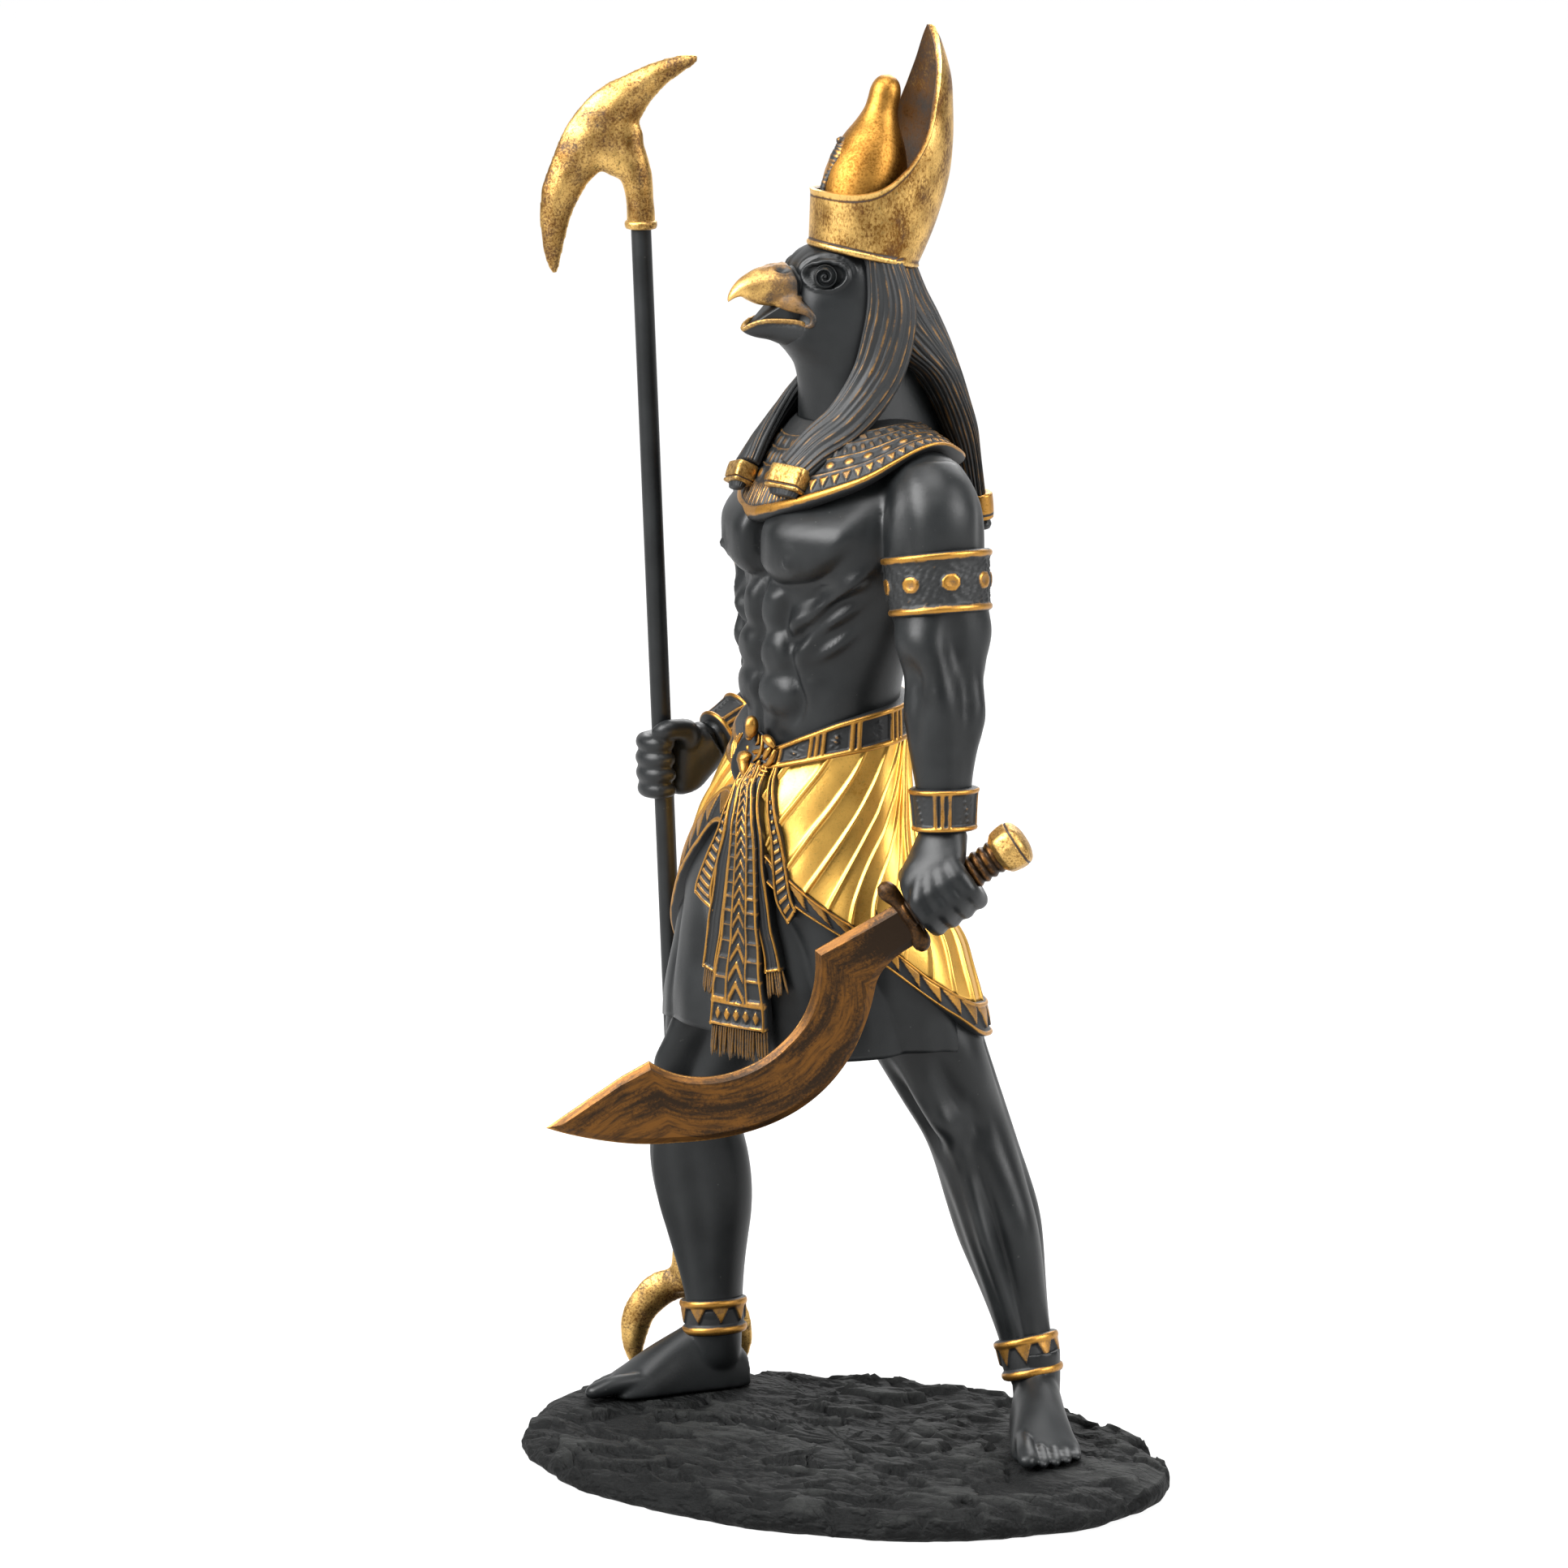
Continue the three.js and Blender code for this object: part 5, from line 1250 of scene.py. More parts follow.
def footGrids(heel, facing, hand):
    # a flat-soled body in cross sections, and five toes as tapered tubes
    ahead, left = frontOf(facing), leftOf(facing) * hand
    start = np.array([*heel, 0])
    forward = np.linspace(0, foot["rows"][-1][0], 50)
    half, tall, shift = along(foot["rows"], forward).T
    a = np.linspace(0, np.pi, 33)[None, :]
    across = -np.cos(a) * half[:, None] + shift[:, None]
    height = 0.3 + np.sin(a) ** 0.9 * tall[:, None]
    upper = start + ahead * forward[:, None, None] + left * across[..., None] + up * height[..., None]
    sole = [start + ahead * forward[:, None, None] + left * (half * s * 0.9 + shift)[:, None, None]
            for s in (0.6, 0, -0.6)]
    grids = [np.concatenate([upper, *sole], 1)]
    for side, reach, radius in foot["toes"]:
        spots = [(reach - 13, side * 0.9, radius + 1.6), (reach - 6, side, radius + 1.1),
                 (reach - 3.4, side, radius + 0.5), (reach - 0.2, side, radius * 0.8)]
        line = [start + ahead * f + left * s + up * h for f, s, h in spots]
        size = [[0, radius * 0.9, radius * 0.9], [0.5, radius * 0.92, radius * 0.95],
                [0.8, radius, radius * 0.8], [0.93, radius * 0.8, radius * 0.66],
                [1, radius * 0.3, radius * 0.3]]
        grids.append(tube(line, size, 40, 24, up))
    return grids


def makeLegs():
    # a shank with muscles, and a foot fused with its toes and ankle
    for label, leg in (("Left", legs["left"]), ("Right", legs["right"])):
        heel, facing, hand = leg["foot"]
        shank = tube(leg["line"], leg["size"], 130, 100, leg["facing"], legCarving(-hand))
        addLoft("leg" + label, shank, "black")
        low, end = np.array(leg["line"][-2:])
        ankle = tube([low + (low - end) * 2.2, low, end - [0, 0, 2]], foot["ankle"], 30, 40,
                     leg["facing"])
        fuse("foot" + label, [*footGrids(heel, facing, hand), ankle], foot["voxel"], 3, "black")


makeCuffs()
makeLegs()
print("legs, feet and cuffs made")


# Hands: each a palm, four fingers and a thumb round a bar
staffFoot = np.array([-49.7, 28.8, 0])
staffLean = unitOf(np.array([-8.2, -4, 247]))
viewRight, viewAway = leftOf(26), frontOf(206)
gripTilt = math.radians(33.7)
gripWay = viewRight * math.cos(gripTilt) + up * math.sin(gripTilt)
gripCentre = np.array([24.2, -5, 118.6])
rodRadius, gripRadius = 2.1, 3.5


def onStaff(lift):
    # the place on the staff's leaning line at this height
    return staffFoot + staffLean * (np.asarray(lift, float) / staffLean[2])[..., None]


hands = {
    "left": {
        "centre": gripCentre + gripWay * 1.6, "bar": gripWay, "out": -viewAway, "radius": gripRadius,
        "wrist": [24.6, -2.4, 131.5], "curl": [12, 62, 118, 172, 222], "fingerRadius": 1.95,
        "thumb": [(-75, 6.4, -2.4), (-115, 6.3, -4.4), (-165, 6, -4.6), (-205, 5.8, -4.4)],
    },
    "right": {
        "centre": onStaff(133), "bar": staffLean, "out": viewAway, "radius": rodRadius,
        "wrist": [-46.5, 34.5, 137.5], "curl": [0, 52, 110, 168, 222], "fingerRadius": 1.9,
        "thumb": [(-70, 6.2, 4), (-110, 5.4, 7.4), (-155, 4.6, 8.2), (-205, 4.4, 7.6)],
    },
}
fingerPitch, fistVoxel = 3.3, 0.5


def makeHand(label, hand):
    # fingers and thumb curl round the bar by degrees,
    # distance from it and place along it, with a palm behind
    centre, bar, out = (np.asarray(hand[key], float) for key in ("centre", "bar", "out"))
    over = unitOf(np.cross(bar, out))
    wrist = np.array(hand["wrist"])

    def around(angle, reach, slide):
        # degrees round the bar from its outer side, distance from it and place along it
        turn = math.radians(angle)
        return centre + out * math.cos(turn) * reach + over * math.sin(turn) * reach + bar * slide

    grids = []
    thick, bare = hand["fingerRadius"], hand["radius"]
    first, *rest = hand["curl"]
    for k in range(4):
        slide = (k - 1.5) * fingerPitch
        r = thick * (1 - 0.05 * abs(k - 1.4))
        line = [around(first - 22, bare + r + 1.4, slide * 0.94), around(first, bare + r + 1.6, slide)]
        line += [around(angle, bare + r * 0.95 + 0.45 * (i == 0), slide) for i, angle in enumerate(rest)]
        size = [[0, r, r], [0.14, r * 1.12, r * 1.1], [0.3, r * 0.98, r], [0.42, r * 1.08, r * 1.08],
                [0.6, r * 0.95, r], [0.75, r, r], [0.94, r * 0.88, r * 0.8], [1, r * 0.5, r * 0.5]]
        grids.append(tube(line, size, 70, 26, bar))
        middle = wrist * 0.45 + around(first - 62, bare + 3.4, slide * 0.7) * 0.55
        bone = [wrist + bar * slide * 0.45, middle, around(first - 30, bare + 3.2, slide * 0.92),
                around(first - 6, bare + r + 1.2, slide)]
        size = [[0, 2.6, 2.6], [0.5, 2.3, 2.5], [0.85, 2.1, 2.3], [1, 1.9, 2.1]]
        grids.append(tube(bone, size, 50, 24, bar))
    heel = around(first - 62, bare + 2.2, 0)
    palm = [wrist, wrist * 0.5 + heel * 0.5, heel, around(first - 20, bare + 1.6, 0)]
    size = [[0, 4.3, 4.9], [0.4, 3.6, 6.2], [0.8, 2.6, 7], [1, 1.6, 6.4]]
    grids.append(tube(palm, size, 60, 48, bar))
    thumb = [wrist * 0.6 + around(hand["thumb"][0][0], hand["thumb"][0][1], 0) * 0.4]
    thumb += [around(*step) for step in hand["thumb"]]
    size = [[0, 3, 3.2], [0.4, 2.7, 2.8], [0.65, 2.1, 2.2], [0.85, 2.1, 2], [1, 1, 0.9]]
    grids.append(tube(thumb, size, 60, 30, bar))
    fuse("fist" + label, grids, fistVoxel, 3, "black")


makeHand("Left", hands["left"])
makeHand("Right", hands["right"])
print("hands made")


# Dress: gold wrap with pleats, banded hem, belt, black under-kilt, apron, streamers and clasp
kilt = {
    "stations": [
        [76, -12.9, 17.8, -4, 37, 20.4, 25.4], [88, -13.1, 17.4, -6, 36.6, 20.4, 25.4],
        [98, -13.7, 16.8, -12, 35, 20.2, 25.2], [105, -14.4, 17, -16, 33.6, 20.4, 23.8],
        [115, -16.2, 17.6, -24, 29.6, 21.4, 20.4], [128, -14.8, 19.2, -32, 25, 22.4, 17],
        [135, -13.6, 18.6, hipFacing, 23, 20, 16.4], [142, -12.4, 18.4, hipFacing, 21.4, 17, 15],
        [154, -11.6, 18, hipFacing, 20.6, 14.8, 13.6],
    ],
    "beltFoot": [[-180, 146.8], [-90, 144.4], [-40, 140.6], [0, 138.8], [20, 140], [42, 142], [66, 144],
                 [100, 145.5], [180, 146.8]],
    "beltTop": [[-180, 154.6], [-90, 151.6], [-40, 146.4], [0, 143.6], [20, 144.8], [42, 148.3],
                [66, 151.5], [100, 153.6], [180, 154.6]],
    "underHem": [[-180, 80.6], [-90, 81.4], [-50, 83.4], [-30, 83], [0, 80], [20, 80], [40, 81.6],
                 [60, 82.8], [100, 81.6], [180, 80.6]],
    "hemLine": [[-180, 82], [-110, 90], [-60, 107], [-20, 122], [0, 128], [18, 121], [45, 107], [60, 99],
                [75, 91], [100, 84], [180, 82]],
    "hemBand": 7.6,
    "pleats": 27,
    "pleatLift": 0.75,
    "slant": (0.4, 1.35),
    "columnsPerPleat": 19,
    "rows": 54,
    "bandDepth": 0.8,
}


def kiltPoint(a, z, lift):
    # a point on the kilt's round at height z, pushed out by lift
    x, y, facing, wide, front, back = np.moveaxis(along(kilt["stations"], z), -1, 0)
    depth = np.where(np.cos(a) > 0, front, back)
    centre = np.stack([x, y, z], -1)
    across = (np.sin(a) * (wide + lift))[..., None]
    ahead = (np.cos(a) * (depth + lift))[..., None]
    return centre + leftOf(facing) * across + frontOf(facing) * ahead


def kiltLine(key, more=0.0):
    # one of the kilt's lines as a height by angle, moved up by more
    return lambda a: along(kilt[key], np.degrees(a)) + more


def tucked(grid, raised, a, z, depth):
    # the grid with a row at both ends that runs in under it, where nothing is raised
    foot, top = (kiltPoint(a[k:][:1], z[k:][:1], 0 * a[:1] - depth) for k in (0, -1))
    return np.concatenate([foot, grid, top]), endless(raised)


def kiltColumns(v):
    # columns along the pleats: each has its own bearing at middleHeight and slants most beside the apron;
    # angle and height depend on each other, so both are worked out again until they settle
    per, middleHeight = kilt["columnsPerPleat"], 110
    q = np.arange(kilt["pleats"] * per) / per
    lean = q / kilt["pleats"] * 360 - 180
    slant = kilt["slant"][0] + kilt["slant"][1] * bump(lean - 12, 50)
    z = np.full((len(v), len(q)), float(middleHeight))
    for _ in range(14):
        facing = along(kilt["stations"], z)[..., 2]
        bearing = lean + slant * (z - middleHeight) + 0.9 * np.sin(z / 6.5 + lean / 7)
        bearing = bearing + 0.8 * np.sin(z / 15 + lean / 23)
        a = np.radians((bearing - facing + 180) % 360 - 180)
        low, high = kiltLine("hemLine", kilt["hemBand"])(a), kiltLine("beltFoot", 1)(a)
        z = z * 0.4 + (low + (high - low) * v[:, None]) * 0.6
    return a, z, np.broadcast_to(q % 1, z.shape)


def kiltRelief(q, a, z):
    # each pleat swells slowly and ends in a narrow raised fold; soft dents cross them below the belt
    d = np.degrees(a)
    fold = bump(q - 0.88, 0.055) + 0.5 * q * fall(q, 0.9, 1)
    dent = np.sin(z / 2.6 + d / 9) * np.sin(d / 7 + z / 11) * rise(z, 116, 130) * bump(d - 30, 24)
    return fold + 0.38 * dent


def makeWrap():
    # the pleated gold wrap from the belt down to the hem band
    a, z, q = kiltColumns(np.linspace(0, 1, kilt["rows"]))
    flat = kiltPoint(a, z, 0 * a)
    grid = kiltPoint(a, z, 0.1 + kilt["pleatLift"] * kiltRelief(q, a, z) + ripple(flat, 13, 51) * 0.4)
    # each fold's ridge gets a lighter gold as a painted highlight, and the thin dark line just past it,
    # where the pleat drops, is a painted shadow
    raised = 0.75 + 0.25 * bump(q - 0.88, 0.07) - 0.6 * bump(q - 0.985, 0.03) + ripple(grid, 8, 52) * 0.06
    grid, raised = tucked(grid, raised, a, z, 3)
    addLoft("kiltWrap", grid, "kilt", {"raised": raised})


def hemCarving(v, half, s):
    # teeth whose points hang from the upper bead, cut free of both beads
    place = np.clip((v + half - 1.35) / (half * 2 - 2.7), 0, 1)
    tooth = saw(s / 5.6) - 1 + place
    inside = rise(half - 1.15 - np.abs(v), 0, 0.2)
    return np.maximum(edges(v, half, 0.62), rise(tooth, 0.03, 0.13) * inside * 0.8)


def beltCarving(v, half, s):
    # groups of two and three upright bars between sunk panels, worn gold in the middle of each panel
    place, group = (s / 8.6) % 1, np.floor(s / 8.6) % 2
    third = dome((place - 0.38) / 0.075) * (group < 1)
    bars = highest(dome((place - 0.06) / 0.075), dome((place - 0.22) / 0.075), third)
    grain = rise(np.sin(s * 2.7 + 2 * np.sin(v * 2)) * np.sin(v * 2.9 + s * 0.8), -0.2, 0.6)
    patch = 0.66 * bump((place - 0.68) / 0.13, 1) * bump(v / half / 0.42, 1) * grain
    inside = rise(half - 0.85 - np.abs(v), 0, 0.15)
    return highest(edges(v, half, 0.7), bars * 0.95 * inside, patch * inside)


def bandRound(name, low, high, sides, rows, lift, carving):
    # a band between two lines round the kilt, carved by
    # millimetres from its middle, its half height and along it
    v = np.linspace(0, 1, rows)[:, None]
    a = np.broadcast_to(turns(sides)[None, :], (rows, sides))
    tall = high(a) - low(a)
    z = low(a) + tall * v
    flat = kiltPoint(a, z, 0 * a)
    run = np.cumsum(np.linalg.norm(flat - np.roll(flat, 1, 1), axis=-1).mean(0))
    carved = carving((v - 0.5) * tall, tall / 2, (run - run[sides // 2])[None, :])
    grid, raised = tucked(kiltPoint(a, z, lift + carved * kilt["bandDepth"]), carved, a, z, 4)
    addLoft(name, grid, "trim", {"raised": raised * 0.95 + ripple(grid, 4, 61) * 0.1})


def makeUnderKilt():
    # broad soft folds that deepen towards the hem, up to a height hidden by the wrap
    rows, sides, hidden = 44, 260, 128
    a = np.broadcast_to(turns(sides)[None, :], (rows, sides))
    low = kiltLine("underHem")(a)
    z = low + (hidden - low) * np.linspace(0, 1, rows)[:, None]
    d = np.degrees(a)
    fold = np.abs(np.sin(d / 9.5 + 0.5 * np.sin(z / 12) + 0.7 * np.sin(d / 31)))
    lift = -0.35 - 1.25 * (1 - fold) ** 1.5 * fall(z, 104, 122) + 0.25 * np.cos(d / 3.1) * fall(z, 84, 96)
    inner = kiltPoint(a[:1], low[:1], 0 * a[:1] - 3.4)
    addLoft("underKilt", np.concatenate([inner, kiltPoint(a, z, lift)]), "black")


def makeKilt():
    # wrap, hem band, belt and under-kilt
    makeWrap()
    bandRound("hemBand", kiltLine("hemLine"), kiltLine("hemLine", kilt["hemBand"]), 720, 36, 0.7,
              hemCarving)
    bandRound("belt", kiltLine("beltFoot"), kiltLine("beltTop"), 660, 34, 0.95, beltCarving)
    makeUnderKilt()


stripTop = 141
# rows: height, and degrees round the kilt of the right and left edge; foot: height there of each edge
strips = {
    "apron": {
        "rows": [[84, -20, 1], [93, -16.25, 3.75], [100, -11.5, 6.5], [107, -5, 11], [114, 4.25, 19.5],
                 [121, 10, 24.5], [128, 13.5, 26.7], [134, 13.75, 24.75], [139, 10, 19],
                 [142, 8.5, 16]],
        "foot": (86, 86), "lift": 1.8, "thick": 1.2, "fringe": 7.6},
    "longRight": {
        "rows": [[92, -24, -17], [100, -19.5, -12.7], [107, -14.2, -6.2], [114, -4.2, 3.5],
                 [121, 1.7, 9.5], [128, 7.8, 13.8], [134, 7.7, 12.7], [139, 5, 9], [142, 4, 7.5]],
        "foot": (97.5, 96.5), "lift": 1, "thick": 1, "fringe": 6},
    "longLeft": {
        "rows": [[93, 3, 12], [100, 7.2, 13.5], [107, 10.2, 16.2], [114, 17.5, 23.7], [121, 21, 27],
                 [128, 23, 29.2], [134, 20.2, 26.5], [139, 18, 23], [142, 17, 21]],
        "foot": (98.5, 99.5), "lift": 1, "thick": 1, "fringe": 6},
    "shortRight": {
        "rows": [[109, -22, -9.5], [114, -17.2, -5.5], [121, -7.5, 2.2], [128, 2.2, 7.7], [134, 5, 8],
                 [139, 4, 7], [142, 4, 6.5]],
        "foot": (112.5, 109.5), "lift": 0.6, "thick": 1, "fringe": 0},
    "shortLeft": {
        "rows": [[109, 25.5, 33.4], [114, 26.7, 34.5], [121, 30.5, 37.5], [128, 32.5, 38.2],
                 [134, 30.2, 35.2], [139, 26, 30], [142, 24.5, 27.5]],
        "foot": (109.5, 112.8), "lift": 0.6, "thick": 1, "fringe": 0},
}


def apronCarving(u, w, beat, half, length):
    # gold borders, a column of steep chevrons between two
    # lines, ladders beside it, diamonds in a panel at the foot
    edge = (1 - np.abs(u)) * half
    m = np.abs(u)
    lines = dome((m - 0.4) * half / 0.26)
    chevron = rise(saw(beat - m * 2.6), 0.45, 0.66) * fall(m, 0.3, 0.36)
    rung = rise(saw(beat + 0.2), 0.74, 0.88) * rise(m, 0.4, 0.44)
    panel = rise(w, length - 5.9, length - 5.6)
    down = (w - length + 2.9) / 1.75
    spot = np.abs(((u * 2.9 + 0.5) % 1) - 0.5)
    diamond = rise(1 - spot * 2.4 - np.abs(down), 0, 0.25) * (m < 0.88)
    notch = rise(spot * 2.4 + np.abs(down) - 1.75, 0, 0.2) * (m < 0.88) * (np.abs(down) < 1) * 0.5
    across = np.maximum(dome((w - length + 5.4) / 0.45), dome((w - length + 0.45) / 0.45))
    body = highest(lines, chevron * 0.85, rung * 0.7) * (1 - panel)
    return highest(dome((edge - 0.38) / 0.38), body, highest(diamond, notch) * 0.85 * panel, across)


def longCarving(u, w, beat, half, length):
    # a gold border round a dark field with a faint cord down it
    edge = (1 - np.abs(u)) * half
    cord = 0.32 * dome((np.abs(u) - 0.3) * half / 0.4)
    return highest(dome((edge - 0.34) / 0.34), cord, dome((w - length + 0.4) / 0.4))


def shortCarving(u, w, beat, half, length):
    # gold borders with a ladder of slanting strokes between them
    edge = (1 - np.abs(u)) * half
    stroke = rise(saw(w / 2.05 + 0.5), 0.46, 0.66) * rise(edge, 0.75, 0.95)
    return highest(dome((edge - 0.36) / 0.36), stroke * 0.8, dome((w - length + 0.4) / 0.4))


def stripPoint(facts, share, u, out):
    # a point of a strip: share down it, u from its right edge to its left, out from the kilt
    z = stripTop + ((facts["foot"][0] * (1 - u) + facts["foot"][1] * (1 + u)) / 2 - stripTop) * share
    right, left = np.moveaxis(along(facts["rows"], z), -1, 0)
    return kiltPoint(np.radians((right * (1 - u) + left * (1 + u)) / 2), z, out)


def makeStrip(name, facts, carving):
    # a closed strip laid on the kilt: carved in front, flat behind
    rows, across = 144, 52
    share, u = np.meshgrid(np.linspace(0, 1, rows), np.linspace(-1, 1, across), indexing="ij")
    flat = stripPoint(facts, share, u, facts["lift"])
    tuck = facts["lift"] * (0.25 + 0.75 * rise(share, 0, 0.08))
    half = np.linalg.norm(flat[:, -1] - flat[:, 0], axis=-1)[:, None] / 2
    length = np.linalg.norm(np.diff(flat[:, across // 2], axis=0), axis=1).sum()
    w = share * length
    beat = np.cumsum(length / rows / (0.72 * half), axis=0)
    carved = carving(u, w, beat, half, length)
    front = stripPoint(facts, share, u, tuck + facts["thick"] - 0.15 + carved * 0.62 + 0.2 * dome(u))
    rear = stripPoint(facts, share[:, ::-30], u[:, ::-30], facts["lift"] - 1.6)
    grid = np.concatenate([front, rear], 1)
    raised = np.concatenate([carved, np.zeros(rear.shape[:2])], 1)
    addLoft(name, grid, "trim", {"raised": raised * 0.95 + ripple(grid, 3, 71) * 0.1})


fringe = {"cords": 0.62, "rows": 2, "size": [[0, 0.26, 0.3], [0.8, 0.33, 0.36], [1, 0.12, 0.12]]}


def makeFringes():
    # two rows of thin cords below the foot of each long strip, black, with a painted highlight in gold on
    # the side that faces the camera
    grids = []
    for facts in strips.values():
        for row in range(fringe["rows"] if facts["fringe"] else 0):
            ends = stripPoint(facts, np.ones(2), np.array([-1.0, 1.0]), facts["lift"])
            count = int(np.linalg.norm(ends[1] - ends[0]) / fringe["cords"])
            for i in range(count):
                u = (i + 0.5 + 0.5 * row) / (count + 0.5) * 2 - 1
                out = facts["lift"] + 0.75 - 0.5 * row
                top, above = (stripPoint(facts, np.float64(share), np.float64(u), out)
                              for share in (0.985, 0.9))
                down = unitOf(top - above) * facts["fringe"] * chance.uniform(0.86, 1.04)
                sway = viewRight * chance.normal(0, 0.28)
                cord = [top, top + down * 0.5 + sway * 0.4, top + down + sway]
                grids.append(tube(cord, fringe["size"], 9, 8, viewAway))
    addBundle("fringes", grids, "trim", -viewAway, -0.3, 0.66)


def makeApron():
    # the apron, two long and two short strips, and the fringes
    carvings = (apronCarving, longCarving, longCarving, shortCarving, shortCarving)
    for (name, facts), carving in zip(strips.items(), carvings):
        makeStrip(name, facts, carving)
    makeFringes()


# Clasp: a small figure as buckle, each stroke a row of places on the kilt as degrees round, height and
# stand-off, and its thickness
clasp = {
    "head": (6.5, 148.3, 3.6),
    "headSize": (1.75, 2.5, 1.6),     # half sizes across, up and ahead
    "chin": [[(6, 147, 3.8), (6, 145.6, 2.8)], 0.95],
    "vase": [[(3.2, 142.6, 2.2), (4.5, 141.5, 2.8), (6.5, 140.2, 2.6), (11, 138, 2)],
             [[0, 1.1, 0.8], [0.1, 1.75, 1.1], [0.3, 1.7, 1.2], [0.4, 1.35, 1.1], [0.75, 0.95, 0.9],
              [1, 0.3, 0.4]]],
    "strokes": [
        ([(-2.5, 143.9, 1.9), (-0.5, 143, 1.9)], 0.55), ([(1.5, 144, 1.9), (3.5, 143, 1.9)], 0.55),
        ([(-7.5, 146, 1.8), (-11, 144, 1.9), (-10, 142.5, 1.9), (-6.5, 141.4, 1.8)], 0.42),
        ([(-19, 144.5, 1.2), (-19.5, 142.7, 1.4), (-17, 141.2, 1.4), (-13, 140, 1.4)], 0.75),
        ([(-14, 145.4, 1.3), (-15.5, 143.4, 1.5), (-13.5, 141.6, 1.5), (-9, 140, 1.5)], 0.6),
        ([(9, 146.8, 1.9), (10, 145.4, 1.8), (7.5, 144.4, 1.6)], 0.4),
        ([(13.5, 146.9, 2.3), (15, 144.8, 2.3), (14, 142.7, 2.2), (10.5, 141.2, 2)], 0.5),
        ([(15, 146.7, 2.2), (20, 146.2, 2.6), (24.5, 145, 2.4)], 1.15),
        ([(22, 144.9, 2.6), (20, 143.5, 2.5), (18.6, 142.2, 2.2)], 0.8),
        ([(25, 144.6, 2.4), (23.8, 142.7, 2.4), (22, 141.4, 2.2), (19.5, 141.3, 2.1)], 0.7),
        ([(15.5, 140.6, 1.8), (20, 139.9, 1.9), (23.5, 139.9, 1.8)], 0.5),
        ([(15.5, 139.7, 1.7), (19.5, 139, 1.8), (23, 139.1, 1.7)], 0.5),
        ([(15.6, 141.8, 2), (14.4, 140.4, 1.9)], 0.55),
        ([(10.5, 137.9, 2), (9, 137, 2.5), (11.4, 135.7, 2.1)], 0.75),
        ([(11.2, 137.9, 2.1), (12, 136.8, 2.7), (14.6, 135.2, 2.2)], 0.75),
        ([(12, 138, 2), (14.7, 137, 2.5), (16.8, 135.9, 2.1)], 0.75),
        ([(14.6, 138.5, 2), (18.2, 137.8, 2.5), (20.2, 136.9, 2.1)], 0.8),
    ],
    "back": [[(4, 147, 0.6), (6, 143, 0.7), (10, 139, 0.7), (14, 136.4, 0.5)],
             [[0, 1, 0.8], [0.2, 4.4, 1], [0.6, 6, 1.1], [0.85, 4.4, 1], [1, 1.6, 0.8]]],
}


def makeClasp():
    # a dark plate behind, and on it a head, a vase and strokes that thin out at both ends
    def spots(places):
        # places on the kilt by degrees, height and stand-off
        d, z, out = np.array(places, float).T
        return kiltPoint(np.radians(d), z, out)

    ahead, left = frontOf(-14), leftOf(-14)
    addLoft("claspBack", tube(spots(clasp["back"][0]), clasp["back"][1], 60, 40, ahead), "black")
    grids = [blob(spots([clasp["head"]])[0], (left, up + left * 0.12, ahead), clasp["headSize"]),
             tube(spots(clasp["vase"][0]), clasp["vase"][1], 60, 32, ahead)]
    for places, thick in [clasp["chin"], *clasp["strokes"]]:
        size = (np.array([[0, 0.4, 0.5], [0.25, 0.8, 0.8], [0.7, 0.8, 0.8], [1, 0.3, 0.4]])
                * [1, thick, thick])
        grids.append(tube(spots(places), size, 26, 12, ahead))
    # the strokes are gold as the clasp is; their gold fades to dark on the sides away from the camera, a
    # painted highlight and painted shade
    addBundle("clasp", grids, "trim", -viewAway, 0.2, 1)


makeKilt()
makeApron()
makeClasp()
print("dress made")


# Staff: rod, crest and fork
staff = {
    "forkTop": 27.5,
    "headRise": 246.6,
    "gap": 0.3,
    "crescent": [[-18.2, -9.7], [-18.5, -6.7], [-18.4, -2.7], [-17.8, 1.9], [-16.6, 6.8], [-14.6, 11],
                 [-10.9, 16.6], [-6.9, 21.6], [-2.8, 26], [0.6, 28.9], [4.2, 31.4], [8, 33.4],
                 [13.3, 35.5]],
    "crescentSize": [[0, 0.5, 0.5], [0.03, 1.3, 1], [0.12, 2.5, 1.7], [0.28, 4, 2.3], [0.36, 4.5, 2.4],
                     [0.48, 5.8, 2.7], [0.6, 6, 2.7], [0.7, 5, 2.6], [0.76, 4, 2.3], [0.84, 2.9, 1.9],
                     [0.94, 1.8, 1.4], [0.99, 0.9, 0.8], [1, 0.3, 0.3]],
    "stem": [[0, 0], [0, 5], [-0.2, 8.6], [-1, 12], [-3.5, 15.6], [-6, 20.4]],
    "socket": [[0, 2.8], [0.1, 3.15], [0.5, 3.35], [1, 3.4], [1.4, 3.35], [1.7, 3.1], [1.8, 2.7]],
    "prong": [[0, 20.4], [5.2, 18.6], [9.8, 13.6], [11.4, 7.4], [10.8, 0.6]],
    "prongSize": [[0, 3.6, 2.1], [0.3, 3.8, 2.1], [0.6, 3.2, 2], [0.85, 1.9, 1.4], [1, 0.5, 0.5]],
    "neckSize": [[0, 2.3, 2.3], [0.5, 3, 2.6], [1, 5.5, 2.4]],
    "stemSize": [[0, 3, 3], [0.23, 2.9, 2.9], [0.39, 3.1, 2.9], [0.55, 3.7, 2.8], [0.75, 5.6, 2.6],
                 [1, 6.8, 2.2]],
}


def onView(side, lift):
    # a place beside the staff's line, across the view
    return onStaff(lift) + viewRight * side


def lens(t, a):
    # a section with a slightly sharp edge on both sides
    return 1 - 0.12 * np.abs(np.sin(2 * a)) ** 1.5


def staffRound(lift, radius):
    # rounds of these radii about the staff's line
    a = turns(48)[None, :, None]
    return onStaff(lift)[:, None] + viewRight * np.sin(a) * radius + viewAway * np.cos(a) * radius


